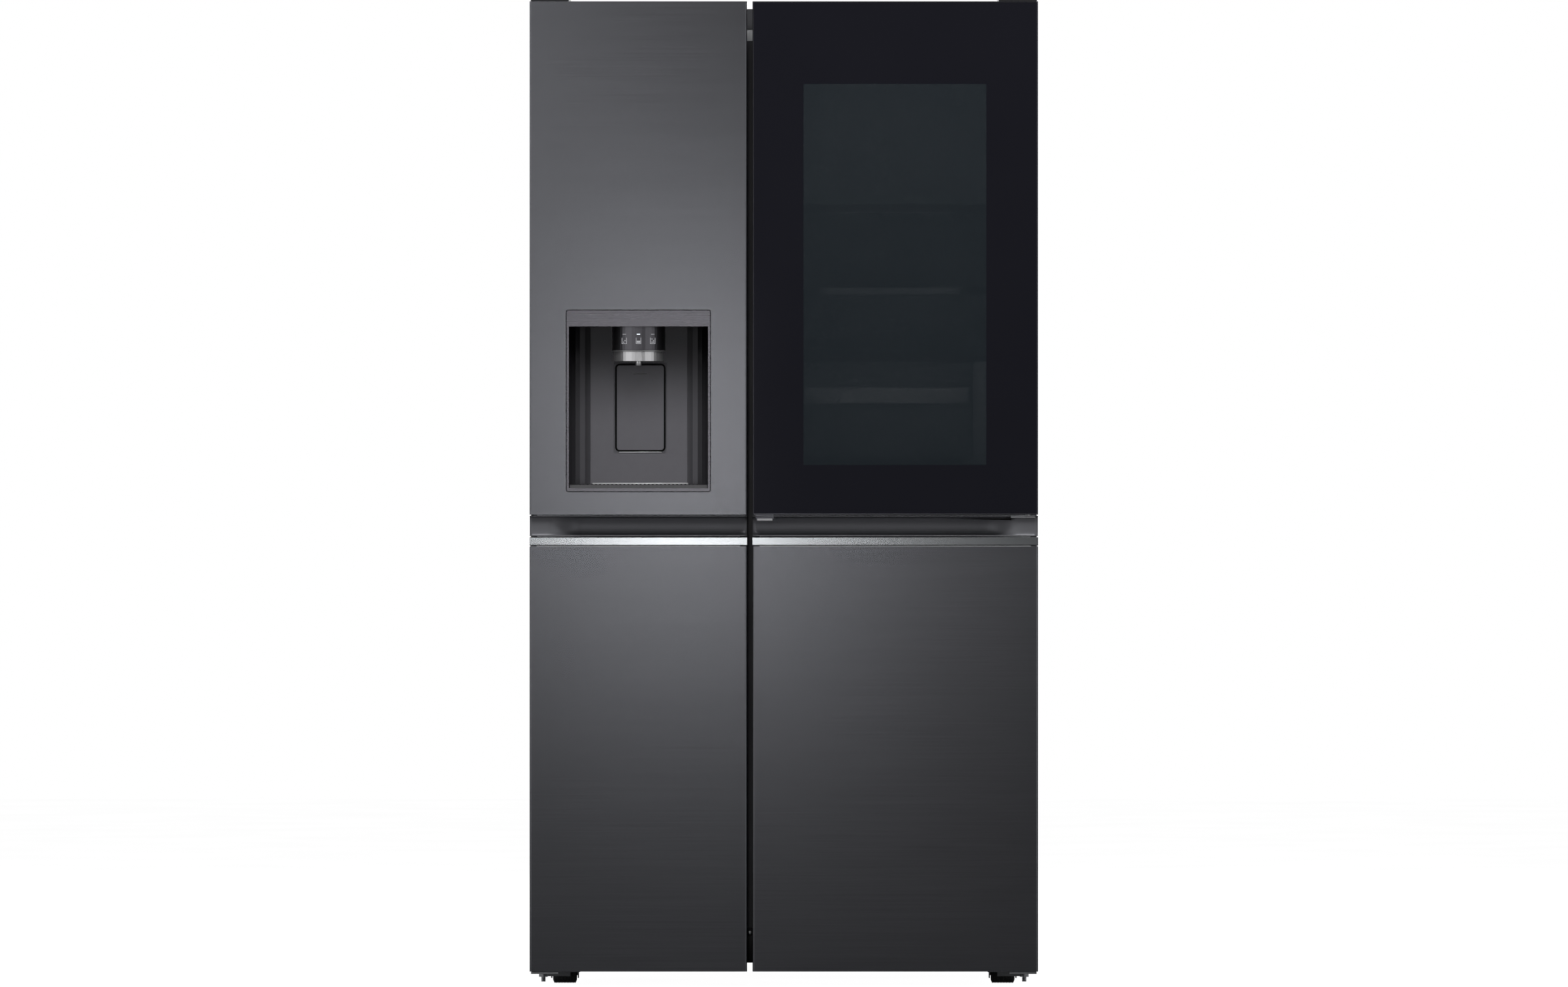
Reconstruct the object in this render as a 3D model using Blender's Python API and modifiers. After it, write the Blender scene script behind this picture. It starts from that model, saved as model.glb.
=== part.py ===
"""Side by side refrigerator with a glass door-in-door, as an assembly of separate pieces.

Metres, +Z up. The front faces -Y, the floor is z = 0 and the origin is under the middle of the
cabinet. "Left" and "right" are as seen from the front, so left is -X. All doors are shut.
"""

import math

import bmesh
import bpy
from mathutils import Matrix, Vector

# ---------------------------------------------------------------- driving dimensions
HALF_WIDTH = 0.4565
FRONT = -0.3675  # front face of both doors
BACK = 0.3675  # rear face of the cabinet
DOOR_TOP = 1.7667
DOOR_BOTTOM = 0.0256
CABINET_TOP = 1.757
CABINET_BOTTOM = 0.037
TOP = 1.790  # top of the hinge covers

DOOR_THICK = 0.103
SKIN = 0.0012  # door sheet
SKIN_RETURN = 0.060  # how far the door sheet wraps back along the door's sides
LINER_STEP = 0.008  # the door behind that wrap is this much smaller all round
SHEET = 0.0015  # cabinet sheet
GAP = 0.0003  # kept between pieces that touch
CORNER = 0.003

FREEZER_EDGE = -0.0661  # free edge of the left door
FRIDGE_EDGE = -0.0562  # free edge of the right door
HINGE_INSET = 0.020  # hinge axis from the door's side and from its front face

POCKET_TOP = 0.8455
POCKET_BOTTOM = 0.8053
TRIM_BOTTOM = 0.7901
LOWER_TOP = 0.7887
POCKET_DEPTH = 0.049
POCKET_SHALLOW = 0.010  # depth of the pocket next to the hinge side
POCKET_BLIND = 0.066  # length of that shallow stretch

# ---------------------------------------------------------------- derived places
DOOR_BACK = FRONT + DOOR_THICK
CABINET_FRONT = DOOR_BACK + 0.012
FOAM_FRONT = CABINET_FRONT + SHEET + GAP
SKIN_BACK = FRONT + SKIN_RETURN
SIDE = HALF_WIDTH - 0.001  # outer face of the cabinet
FOAM_SIDE = SIDE - SHEET - GAP
FOAM_BACK = BACK - 0.0028
HINGE_X = HALF_WIDTH - HINGE_INSET
HINGE_Y = FRONT + HINGE_INSET

FREEZER_ROOM = (-0.405, -0.091)
FRIDGE_ROOM = (-0.031, 0.405)
ROOM_Z = (0.110, 1.697)
ROOM_BACK = 0.305
STEP_Y = 0.085  # the rooms' floor steps up behind this, over the machine compartment
STEP_Z = 0.290
MACHINE_Y = 0.125
MACHINE_TOP = 0.250
DRAWER_SIDE = 0.339  # outer side of the drawers, clear of a door that stands open
DRAWER_FRONT = -0.200
MULLION_X = (FREEZER_EDGE + FRIDGE_EDGE) / 2

DISPENSER_X = (-0.3915, -0.1308)
DISPENSER_Z = (0.8858, 1.2135)
RECESS_X = (-0.386, -0.136)
RECESS_Z = (0.893, 1.1834)
RECESS_BACK = -0.302
RECESS_ROUND = 0.038
SPOUT = (-0.261, -0.317)
SPOUT_RADIUS = 0.0475
CHUTE_X = (-0.283, -0.239)
CHUTE_Y = (-0.345, -0.306)
PADDLE_X = (-0.3034, -0.2132)
PADDLE_Z = (0.959, 1.1168)
PADDLE_AXIS = (-0.299, 1.110)  # y and z
FLAP_AXIS = (-0.309, 1.190)  # y and z

GLASS_BACK = -0.3205  # back of the outer glass door
FRAME_FRONT = -0.3165  # front of the inner door frame behind it
WINDOW_X = (0.0354, 0.3633)
WINDOW_Z = (0.935, 1.6183)
GLASS = 0.005
HINGE_SIDE_RELIEF = 0.0065  # cut off the outer door's back edge so that it clears as it swings

ROLLER_RADIUS = 0.017
ROLLER_X = (0.3735, 0.4165)
FRONT_ROLLER_Y = -0.232
REAR_ROLLER_Y = 0.300
FOOT_X = 0.434

MATERIALS = {  # colour, roughness, metallic
    "dark_steel": ((0.075, 0.075, 0.085), 0.38, 0.9),
    "painted_steel": ((0.10, 0.10, 0.11), 0.5, 0.2),
    "bright_aluminium": ((0.75, 0.75, 0.77), 0.25, 1.0),
    "zinc_steel": ((0.55, 0.56, 0.58), 0.35, 1.0),
    "chrome": ((0.85, 0.85, 0.87), 0.08, 1.0),
    "copper": ((0.6, 0.3, 0.2), 0.35, 1.0),
    "black_glass": ((0.01, 0.01, 0.012), 0.05, 0.0),
    "clear_plastic": ((0.75, 0.78, 0.8), 0.15, 0.0),
    "white_plastic": ((0.85, 0.86, 0.87), 0.4, 0.0),
    "grey_plastic": ((0.25, 0.25, 0.26), 0.45, 0.0),
    "black_plastic": ((0.02, 0.02, 0.022), 0.4, 0.0),
    "black_rubber": ((0.03, 0.03, 0.03), 0.8, 0.0),
    "grey_rubber": ((0.3, 0.3, 0.31), 0.7, 0.0),
}


# ---------------------------------------------------------------- modelling helpers
def start_scene():
    """Empties the scene and makes the two collections."""
    for obj in list(bpy.data.objects):
        bpy.data.objects.remove(obj, do_unlink=True)
    made = []
    for name in ("refrigerator", "cutters"):
        collection = bpy.data.collections.new(name)
        bpy.context.scene.collection.children.link(collection)
        made.append(collection)
    return made


PARTS, CUTTERS = start_scene()


def material(name):
    """The named material, made on first use."""
    found = bpy.data.materials.get(name)
    if found:
        return found
    colour, roughness, metallic = MATERIALS[name]
    made = bpy.data.materials.new(name)
    made.use_nodes = True
    shader = made.node_tree.nodes["Principled BSDF"]
    shader.inputs["Base Color"].default_value = (*colour, 1)
    shader.inputs["Roughness"].default_value = roughness
    shader.inputs["Metallic"].default_value = metallic
    return made


def placed(name, mesh, location):
    obj = bpy.data.objects.new(name, mesh)
    obj.location = location
    PARTS.objects.link(obj)
    return obj


def box(name, x, y, z, made_of=None):
    """A box between three pairs of limits, with its origin in its middle."""
    shape = bmesh.new()
    bmesh.ops.create_cube(shape, size=1)
    bmesh.ops.scale(shape, vec=(x[1] - x[0], y[1] - y[0], z[1] - z[0]), verts=shape.verts)
    mesh = bpy.data.meshes.new(name)
    shape.to_mesh(mesh)
    shape.free()
    obj = placed(name, mesh, (sum(x) / 2, sum(y) / 2, sum(z) / 2))
    if made_of:
        mesh.materials.append(material(made_of))
    return obj


def cylinder(name, radius, start, end, made_of=None, sides=24):
    """A cylinder between two points, with its origin in its middle."""
    start, end = Vector(start), Vector(end)
    shape = bmesh.new()
    bmesh.ops.create_cone(
        shape,
        cap_ends=True,
        segments=sides,
        radius1=radius,
        radius2=radius,
        depth=(end - start).length,
    )
    mesh = bpy.data.meshes.new(name)
    shape.to_mesh(mesh)
    shape.free()
    obj = placed(name, mesh, (start + end) / 2)
    obj.rotation_euler = (end - start).to_track_quat("Z", "Y").to_euler()
    mesh.shade_smooth()
    mesh.set_sharp_from_angle(angle=math.radians(40))
    if made_of:
        mesh.materials.append(material(made_of))
    return obj


def turned(name, profile, location, made_of, sides=24):
    """A turned shape: the profile's (radius, height) points run down its outer side."""
    mesh = bpy.data.meshes.new(name)
    points = [(radius, 0, height) for radius, height in profile]
    mesh.from_pydata(points, [(i, i + 1) for i in range(len(points) - 1)], [])
    mesh.materials.append(material(made_of))
    obj = placed(name, mesh, location)
    screw = obj.modifiers.new("turn", "SCREW")
    screw.steps = screw.render_steps = sides
    screw.use_merge_vertices = True
    screw.merge_threshold = 0.0001
    screw.use_smooth_shade = True
    return obj


def outline(name, points, y, made_of=None):
    """A flat outline of (x, z) points, extruded between two y limits, as a mesh."""
    curve = bpy.data.curves.new(name, "CURVE")
    curve.dimensions = "2D"
    curve.fill_mode = "BOTH"
    curve.extrude = (y[1] - y[0]) / 2
    spline = curve.splines.new("POLY")
    spline.points.add(len(points) - 1)
    for point, (px, pz) in zip(spline.points, points):
        point.co = (px, pz, 0, 1)
    spline.use_cyclic_u = True
    guide = placed(name + "_guide", curve, (0, sum(y) / 2, 0))
    guide.rotation_euler = (math.pi / 2, 0, 0)
    bpy.context.view_layer.update()
    solid = guide.evaluated_get(bpy.context.evaluated_depsgraph_get())
    mesh = bpy.data.meshes.new_from_object(solid)
    mesh.name = name
    shape = bmesh.new()
    shape.from_mesh(mesh)
    bmesh.ops.remove_doubles(shape, verts=shape.verts, dist=0.00001)
    shape.to_mesh(mesh)
    shape.free()
    obj = placed(name, mesh, (0, 0, 0))
    obj.matrix_world = guide.matrix_world.copy()
    bpy.data.objects.remove(guide)
    mesh.materials.clear()
    if made_of:
        mesh.materials.append(material(made_of))
    return obj


def round_edges(obj, radius, axis, side=None, segments=3):
    """Rounds the box edges that run along an axis; side keeps those on one side, as in "+y"."""
    along = "xyz".index(axis)
    shape = bmesh.new()
    shape.from_mesh(obj.data)
    chosen = []
    for edge in shape.edges:
        run = edge.verts[1].co - edge.verts[0].co
        middle = (edge.verts[0].co + edge.verts[1].co) / 2
        if abs(run[along]) < 0.999 * run.length:
            continue
        if side and middle["xyz".index(side[1])] * (1 if side[0] == "+" else -1) <= 0:
            continue
        chosen.append(edge)
    bmesh.ops.bevel(
        shape, geom=chosen, offset=radius, segments=segments, profile=0.5, affect="EDGES"
    )
    shape.to_mesh(obj.data)
    shape.free()
    return obj


def tool(obj):
    """Makes an object a helper that only its Boolean reads."""
    for collection in list(obj.users_collection):
        collection.objects.unlink(obj)
    CUTTERS.objects.link(obj)
    obj.hide_render = True
    obj.display_type = "WIRE"
    return obj


def combine(obj, other, operation):
    modifier = obj.modifiers.new(other.name, "BOOLEAN")
    modifier.operation = operation
    modifier.object = tool(other)
    return obj


def cut(obj, *others):
    for other in others:
        combine(obj, other, "DIFFERENCE")
    return obj


def join(obj, *others):
    for other in others:
        combine(obj, other, "UNION")
    return obj


def keep_inside(obj, other):
    return combine(obj, other, "INTERSECT")


def hold(pivot_name, location, pieces):
    """Hangs pieces on an empty that stands on their joint's axis."""
    pivot = bpy.data.objects.new(pivot_name, None)
    pivot.location = location
    PARTS.objects.link(pivot)
    bpy.context.view_layer.update()
    for piece in pieces:
        piece.parent = pivot
        piece.matrix_parent_inverse = pivot.matrix_world.inverted()
    return pivot


def side_name(sign):
    return "left" if sign < 0 else "right"


def span(sign, near, far):
    """Limits in x of something that lies from near to far out from the middle, on one side."""
    return (near, far) if sign > 0 else (-far, -near)


def grown(limits, by):
    return (limits[0] - by, limits[1] + by)


# ---------------------------------------------------------------- cabinet
def cabinet():
    shell = box(
        "cabinet_shell",
        (-SIDE, SIDE),
        (CABINET_FRONT, FOAM_BACK),
        (CABINET_BOTTOM, CABINET_TOP),
        "painted_steel",
    )
    cut(
        shell,
        box(
            "shell_hollow",
            (SHEET - SIDE, SIDE - SHEET),
            (CABINET_FRONT + SHEET, BACK + 0.01),
            (0, CABINET_TOP - SHEET),
        ),
        box(
            "shell_mouth", (-0.437, 0.437), (CABINET_FRONT - 0.01, CABINET_FRONT + 0.01), (0, 1.721)
        ),
    )
    panel = box(
        "back_panel",
        (-0.455, 0.455),
        (FOAM_BACK + GAP, BACK),
        (MACHINE_TOP + 0.002, 1.7565),
        "painted_steel",
    )
    cover = box(
        "machine_cover",
        (-0.450, 0.450),
        (FOAM_BACK + GAP, BACK - 0.0008),
        (0.045, 0.249),
        "grey_plastic",
    )
    for index in range(8):
        x = -0.38 + 0.1 * index
        cut(
            cover,
            box(f"vent_{index}", (x, x + 0.06), (FOAM_BACK - 0.01, BACK + 0.01), (0.090, 0.200)),
        )
    strip = box(
        "mullion_strip",
        (MULLION_X - 0.0115, MULLION_X + 0.0115),
        (CABINET_FRONT - 0.0012, FOAM_FRONT - GAP),
        (0.040, 1.6995),
        "painted_steel",
    )
    return [shell, panel, cover, strip]


def room(name, x, guide_x):
    """The space that a liner holds open: a tall room, and a lower one in front of the floor's step."""
    upper = box(name + "_upper", x, (CABINET_FRONT - 0.02, ROOM_BACK), (STEP_Z, ROOM_Z[1]))
    round_edges(upper, 0.006, "y")
    lower = box(
        name + "_lower", guide_x, (CABINET_FRONT - 0.02, STEP_Y), (ROOM_Z[0], STEP_Z + 0.05)
    )
    return upper, lower


def liner(name, x, inner, guide_x, made_of="white_plastic"):
    """A compartment liner with the insulation foamed behind it."""
    body = box(name, x, (FOAM_FRONT, FOAM_BACK - GAP), (0.040, CABINET_TOP - SHEET - GAP), made_of)
    upper, lower = room(name + "_room", inner, guide_x)
    machine = box(name + "_machine", (-0.5, 0.5), (MACHINE_Y, BACK + 0.01), (0.02, MACHINE_TOP))
    cut(body, upper, lower, machine)
    return body


def liners():
    guide_gap = 0.003
    freezer = liner(
        "freezer_liner",
        (-FOAM_SIDE, MULLION_X - GAP / 2),
        FREEZER_ROOM,
        (-DRAWER_SIDE - guide_gap, FREEZER_ROOM[1]),
    )
    fridge = liner(
        "fridge_liner",
        (MULLION_X + GAP / 2, FOAM_SIDE),
        FRIDGE_ROOM,
        (FRIDGE_ROOM[0], DRAWER_SIDE + guide_gap),
    )
    join(
        fridge,
        box(
            "deli_guide",
            (DRAWER_SIDE + guide_gap, 0.410),
            (DRAWER_FRONT + 0.01, 0.240),
            (0.938, 1.122),
        ),
        box(
            "deli_rail_right",
            (DRAWER_SIDE - 0.012, 0.350),
            (DRAWER_FRONT + 0.01, 0.240),
            (0.938, 0.946),
        ),
        box("deli_rail_left", (-0.040, -0.018), (DRAWER_FRONT + 0.01, 0.240), (0.938, 0.946)),
    )
    return [freezer, fridge]


def top_hinges():
    pieces = []
    for sign in (-1, 1):
        side = side_name(sign)
        hinge = box(
            f"top_hinge_{side}",
            span(sign, 0.394, 0.450),
            (-0.246, -0.165),
            (CABINET_TOP + GAP, 1.7675),
            "zinc_steel",
        )
        join(
            hinge,
            box(
                f"hinge_arm_{side}",
                span(sign, 0.412, 0.449),
                (-0.360, -0.200),
                (DOOR_TOP + 0.0006, 1.7715),
            ),
            cylinder(
                f"hinge_pin_{side}",
                0.0045,
                (sign * HINGE_X, HINGE_Y, 1.7585),
                (sign * HINGE_X, HINGE_Y, 1.770),
            ),
        )
        cover = box(
            f"hinge_cover_{side}",
            span(sign, 0.386, 0.4545),
            (-0.3645, -0.150),
            (DOOR_TOP + 0.0005, TOP),
            "black_plastic",
        )
        round_edges(cover, 0.006, "x", "+z")
        join(
            cover,
            box(
                f"cover_skirt_{side}",
                span(sign, 0.386, 0.4545),
                (-0.2485, -0.150),
                (CABINET_TOP + GAP, 1.775),
            ),
        )
        cut(
            cover,
            box(
                f"cover_hollow_{side}",
                span(sign, 0.3885, 0.452),
                (-0.3620, -0.1525),
                (1.74, TOP - 0.0025),
            ),
        )
        pieces += [hinge, cover]
    return pieces


def fork(name, x, y, top):
    """Two side plates and an axle that carry a roller under the cabinet."""
    plates = []
    for end, shift in ((0, -0.0025), (1, 0.0025)):
        middle = x[end] + shift
        sides = (middle - 0.001, middle + 0.001)
        plates.append(box(f"{name}_plate_{end}", sides, (y - 0.014, y + 0.016), (top - 0.027, top)))
    axle = cylinder(
        f"{name}_axle",
        0.003,
        (x[0] - 0.003, y, ROLLER_RADIUS),
        (x[1] + 0.003, y, ROLLER_RADIUS),
        sides=12,
    )
    return [*plates, axle]


def undercarriage():
    base = box("base_plate", (-0.4535, 0.4535), (-0.249, 0.364), (0.0373, 0.0395), "zinc_steel")
    pieces = [base]
    for sign in (-1, 1):
        side = side_name(sign)
        roller_x = span(sign, *ROLLER_X)
        hinge = box(
            f"bottom_hinge_{side}",
            span(sign, 0.3685, 0.454),
            (-0.2570, -0.2530),
            (0.0205, 0.0740),
            "zinc_steel",
        )
        carrier = box(
            f"carrier_{side}", span(sign, 0.3700, 0.4200), (-0.2555, -0.2165), (0.0340, 0.0368)
        )
        join(
            hinge,
            box(
                f"hinge_shelf_{side}", span(sign, 0.405, 0.454), (-0.359, -0.2545), (0.0210, 0.0250)
            ),
            box(f"fork_lip_{side}", span(sign, 0.385, 0.426), (-0.2615, -0.2555), (0.0134, 0.0255)),
            cylinder(
                f"lower_pin_{side}",
                0.0045,
                (sign * HINGE_X, HINGE_Y, 0.023),
                (sign * HINGE_X, HINGE_Y, 0.040),
            ),
            carrier,
        )
        join(hinge, *fork(f"front_fork_{side}", roller_x, FRONT_ROLLER_Y, 0.0366))
        join(base, *fork(f"rear_fork_{side}", roller_x, REAR_ROLLER_Y, 0.0380))
        for place, y in (("front", FRONT_ROLLER_Y), ("rear", REAR_ROLLER_Y)):
            name = f"{place}_roller_{side}"
            roller = cylinder(
                name,
                ROLLER_RADIUS,
                (roller_x[0], y, ROLLER_RADIUS),
                (roller_x[1], y, ROLLER_RADIUS),
                "grey_plastic",
            )
            bore = cylinder(
                f"{name}_bore",
                0.0036,
                (roller_x[0] - 0.01, y, ROLLER_RADIUS),
                (roller_x[1] + 0.01, y, ROLLER_RADIUS),
                sides=12,
            )
            cut(roller, bore)
            pieces.append(roller)
        foot = turned(
            f"levelling_foot_{side}",
            [
                (0, 0.0368),
                (0.0037, 0.0368),
                (0.0037, 0.0300),
                (0.0095, 0.0250),
                (0.0080, 0.0170),
                (0.0080, 0.0115),
                (0.0037, 0.0115),
                (0.0037, 0.0029),
                (0, 0.0029),
            ],
            (sign * FOOT_X, -0.235, 0),
            "zinc_steel",
            16,
        )
        pieces += [hinge, foot]
    return pieces


# ---------------------------------------------------------------- cooling
def fan(name, centre, axis, radius, made_of):
    """A hub with five pitched blades, joined on its axis."""
    centre, axis = Vector(centre), Vector(axis)
    hub = cylinder(name, 0.02, centre - axis * 0.012, centre + axis * 0.012, made_of, sides=16)
    turn = axis.to_track_quat("Z", "Y")
    for index in range(5):
        blade = box(f"{name}_blade_{index}", (0.012, radius), (-0.018, 0.018), (-0.001, 0.001))
        blade.data.transform(Matrix.Translation(blade.location))
        blade.location = centre
        step = Matrix.Rotation(2 * math.pi * index / 5, 4, "Z")
        pitch = Matrix.Rotation(math.radians(28), 4, "X")
        blade.rotation_euler = (turn.to_matrix().to_4x4() @ step @ pitch).to_euler()
        join(hub, blade)
    return hub


def fin_block(name, x, y, z, count, made_of):
    """A finned coil: upright plates along x on two bars."""
    coil = box(
        name, x, (sum(y) / 2 - 0.004, sum(y) / 2 + 0.004), (z[0] + 0.02, z[0] + 0.03), made_of
    )
    join(
        coil,
        box(f"{name}_bar", x, (sum(y) / 2 - 0.004, sum(y) / 2 + 0.004), (z[1] - 0.03, z[1] - 0.02)),
    )
    for index in range(count):
        middle = x[0] + 0.002 + (x[1] - x[0] - 0.004) * index / (count - 1)
        join(coil, box(f"{name}_fin_{index}", (middle - 0.001, middle + 0.001), y, z))
    return coil


def cooling():
    compressor = turned(
        "compressor",
        [
            (0, 0.215),
            (0.040, 0.211),
            (0.066, 0.195),
            (0.076, 0.165),
            (0.078, 0.130),
            (0.080, 0.125),
            (0.076, 0.118),
            (0.074, 0.085),
            (0.060, 0.062),
            (0.030, 0.055),
            (0, 0.055),
        ],
        (-0.300, 0.250, 0),
        "black_plastic",
        24,
    )
    join(compressor, box("compressor_foot", (-0.385, -0.215), (0.190, 0.310), (0.0400, 0.0640)))
    condenser = fin_block(
        "condenser", (-0.020, 0.300), (0.165, 0.335), (0.045, 0.225), 12, "copper"
    )
    condenser_fan = fan("condenser_fan", (-0.115, 0.250, 0.140), (1, 0, 0), 0.075, "grey_plastic")
    evaporator = fin_block(
        "evaporator", (-0.392, -0.104), (0.256, 0.300), (0.700, 1.250), 12, "bright_aluminium"
    )
    evaporator_fan = fan("evaporator_fan", (-0.248, 0.279, 1.420), (0, 1, 0), 0.062, "grey_plastic")
    cover = box(
        "evaporator_cover", (-0.4045, -0.0915), (0.243, 0.247), (0.330, 1.690), "white_plastic"
    )
    cut(cover, box("fan_grille", (-0.300, -0.196), (0.23, 0.26), (1.368, 1.472)))
    for index in range(4):
        z = 0.42 + 0.045 * index
        cut(cover, box(f"return_slot_{index}", (-0.34, -0.156), (0.23, 0.26), (z, z + 0.015)))
    hold("condenser_fan_axis", (-0.115, 0.250, 0.140), [condenser_fan])
    hold("evaporator_fan_axis", (-0.248, 0.279, 1.420), [evaporator_fan])
    return [compressor, condenser, condenser_fan, evaporator, evaporator_fan, cover]


# ---------------------------------------------------------------- inside fittings
def tub(name, x, y, z, wall, made_of, front=None):
    """An open-topped bin; front thickens the wall that faces the user."""
    body = box(name, x, y, z, made_of)
    near = y[0] + (front or wall)
    hollow = box(
        f"{name}_hollow",
        (x[0] + wall, x[1] - wall),
        (near, y[1] - wall),
        (z[0] + wall, z[1] + 0.02),
    )
    cut(body, hollow)
    return body


def drawer(name, x, depth_to, z):
    """A drawer with a grip lip along the top of its front."""
    body = tub(name, x, (DRAWER_FRONT, depth_to), z, 0.003, "clear_plastic", 0.014)
    grip = box(
        f"{name}_grip",
        (x[0] + 0.01, x[1] - 0.01),
        (DRAWER_FRONT - 0.01, DRAWER_FRONT + 0.004),
        (z[0] + 0.6 * (z[1] - z[0]), z[0] + 0.77 * (z[1] - z[0])),
    )
    round_edges(grip, 0.004, "x", "-y")
    return join(body, grip)


def fittings():
    pieces = [
        box("freezer_shelf", (-0.4045, -0.0915), (-0.150, 0.238), (0.900, 0.910), "clear_plastic"),
        box("fridge_shelf", (-0.0305, 0.4045), (-0.150, 0.285), (1.407, 1.421), "clear_plastic"),
        drawer("freezer_drawer", (-DRAWER_SIDE, -0.094), 0.075, (0.1106, 0.275)),
        drawer("crisper_drawer", (-0.028, DRAWER_SIDE), 0.075, (0.1106, 0.275)),
        drawer("deli_drawer", (-0.028, DRAWER_SIDE), 0.230, (0.9466, 1.120)),
    ]
    steps = 36
    period, amplitude, thick = 0.096, 0.0070, 0.004
    xs = [-0.0300 + 0.4340 * index / steps for index in range(steps + 1)]
    top = [(x, 1.309 + amplitude * math.cos(2 * math.pi * (x - 0.077) / period)) for x in xs]
    bottom = [(x, z - thick) for x, z in reversed(top)]
    rack = outline("wine_rack", top + bottom, (-0.145, 0.285), "clear_plastic")
    pieces.append(rack)
    return pieces


# ---------------------------------------------------------------- doors
def skin(name, x, z, open_top, made_of="dark_steel"):
    """A door sheet: a front with its sides wrapped back, open towards the pocket."""
    body = box(name, x, (FRONT, SKIN_BACK), z, made_of)
    round_edges(body, CORNER, "z", "-y")
    low = z[0] + (SKIN if open_top else -0.01)
    high = z[1] + (0.01 if open_top else -SKIN)
    cut(body, box(f"{name}_hollow", grown(x, -SKIN), (FRONT + SKIN, SKIN_BACK + 0.01), (low, high)))
    return body


def pin_hole(sign, z, name):
    return cylinder(
        name, 0.0050, (sign * HINGE_X, HINGE_Y, z[0]), (sign * HINGE_X, HINGE_Y, z[1]), sides=16
    )


def pocket(name, x, hinge_sign, roof):
    """The grip recess between the upper and the lower door panels."""
    z = (POCKET_BOTTOM + GAP, POCKET_TOP - GAP)
    body = box(
        name, grown(x, -0.0002), (FRONT + POCKET_SHALLOW, FRONT + POCKET_DEPTH), z, "dark_steel"
    )
    groove_x = (x[0] + POCKET_BLIND, x[1] + 0.01) if hinge_sign < 0 else (
        x[0] - 0.01, x[1] - POCKET_BLIND
    )
    groove_z = (z[0] + 0.0015, z[1] - 0.0015 if roof else z[1] + 0.01)
    groove = box(f"{name}_groove", groove_x, (FRONT - 0.01, FRONT + POCKET_DEPTH - 0.006), groove_z)
    round_edges(groove, 0.012, "x", "+y")
    return cut(body, groove)


def trim(name, x):
    body = box(name, x, (FRONT, FRONT + 0.028), (TRIM_BOTTOM, POCKET_BOTTOM), "bright_aluminium")
    return round_edges(body, 0.0012, "x", "-y", 1)


def gasket(name, x, y, z, width, made_of):
    ring = box(name, x, y, z, made_of)
    return cut(ring, box(f"{name}_hollow", grown(x, -width), grown(y, 0.01), grown(z, -width)))


def handle_room(name, x):
    """What a door's insulated body leaves free for the pocket and the trim."""
    return box(
        name, grown(x, 0.01), (FRONT - 0.01, FRAME_FRONT), (TRIM_BOTTOM - GAP, POCKET_TOP + 0.003)
    )


def door_core(name, x, z, made_of):
    """A door's insulated body: the part inside the sheet, and the smaller part behind it."""
    inside = SKIN + GAP
    body = box(
        name,
        grown(x, -inside),
        (FRONT + inside, SKIN_BACK + 0.002),
        (z[0] + inside, z[1] - inside),
        made_of,
    )
    join(
        body,
        box(
            f"{name}_rear",
            grown(x, -LINER_STEP),
            (SKIN_BACK - 0.002, DOOR_BACK),
            grown(z, -LINER_STEP),
        ),
    )
    return body


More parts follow.
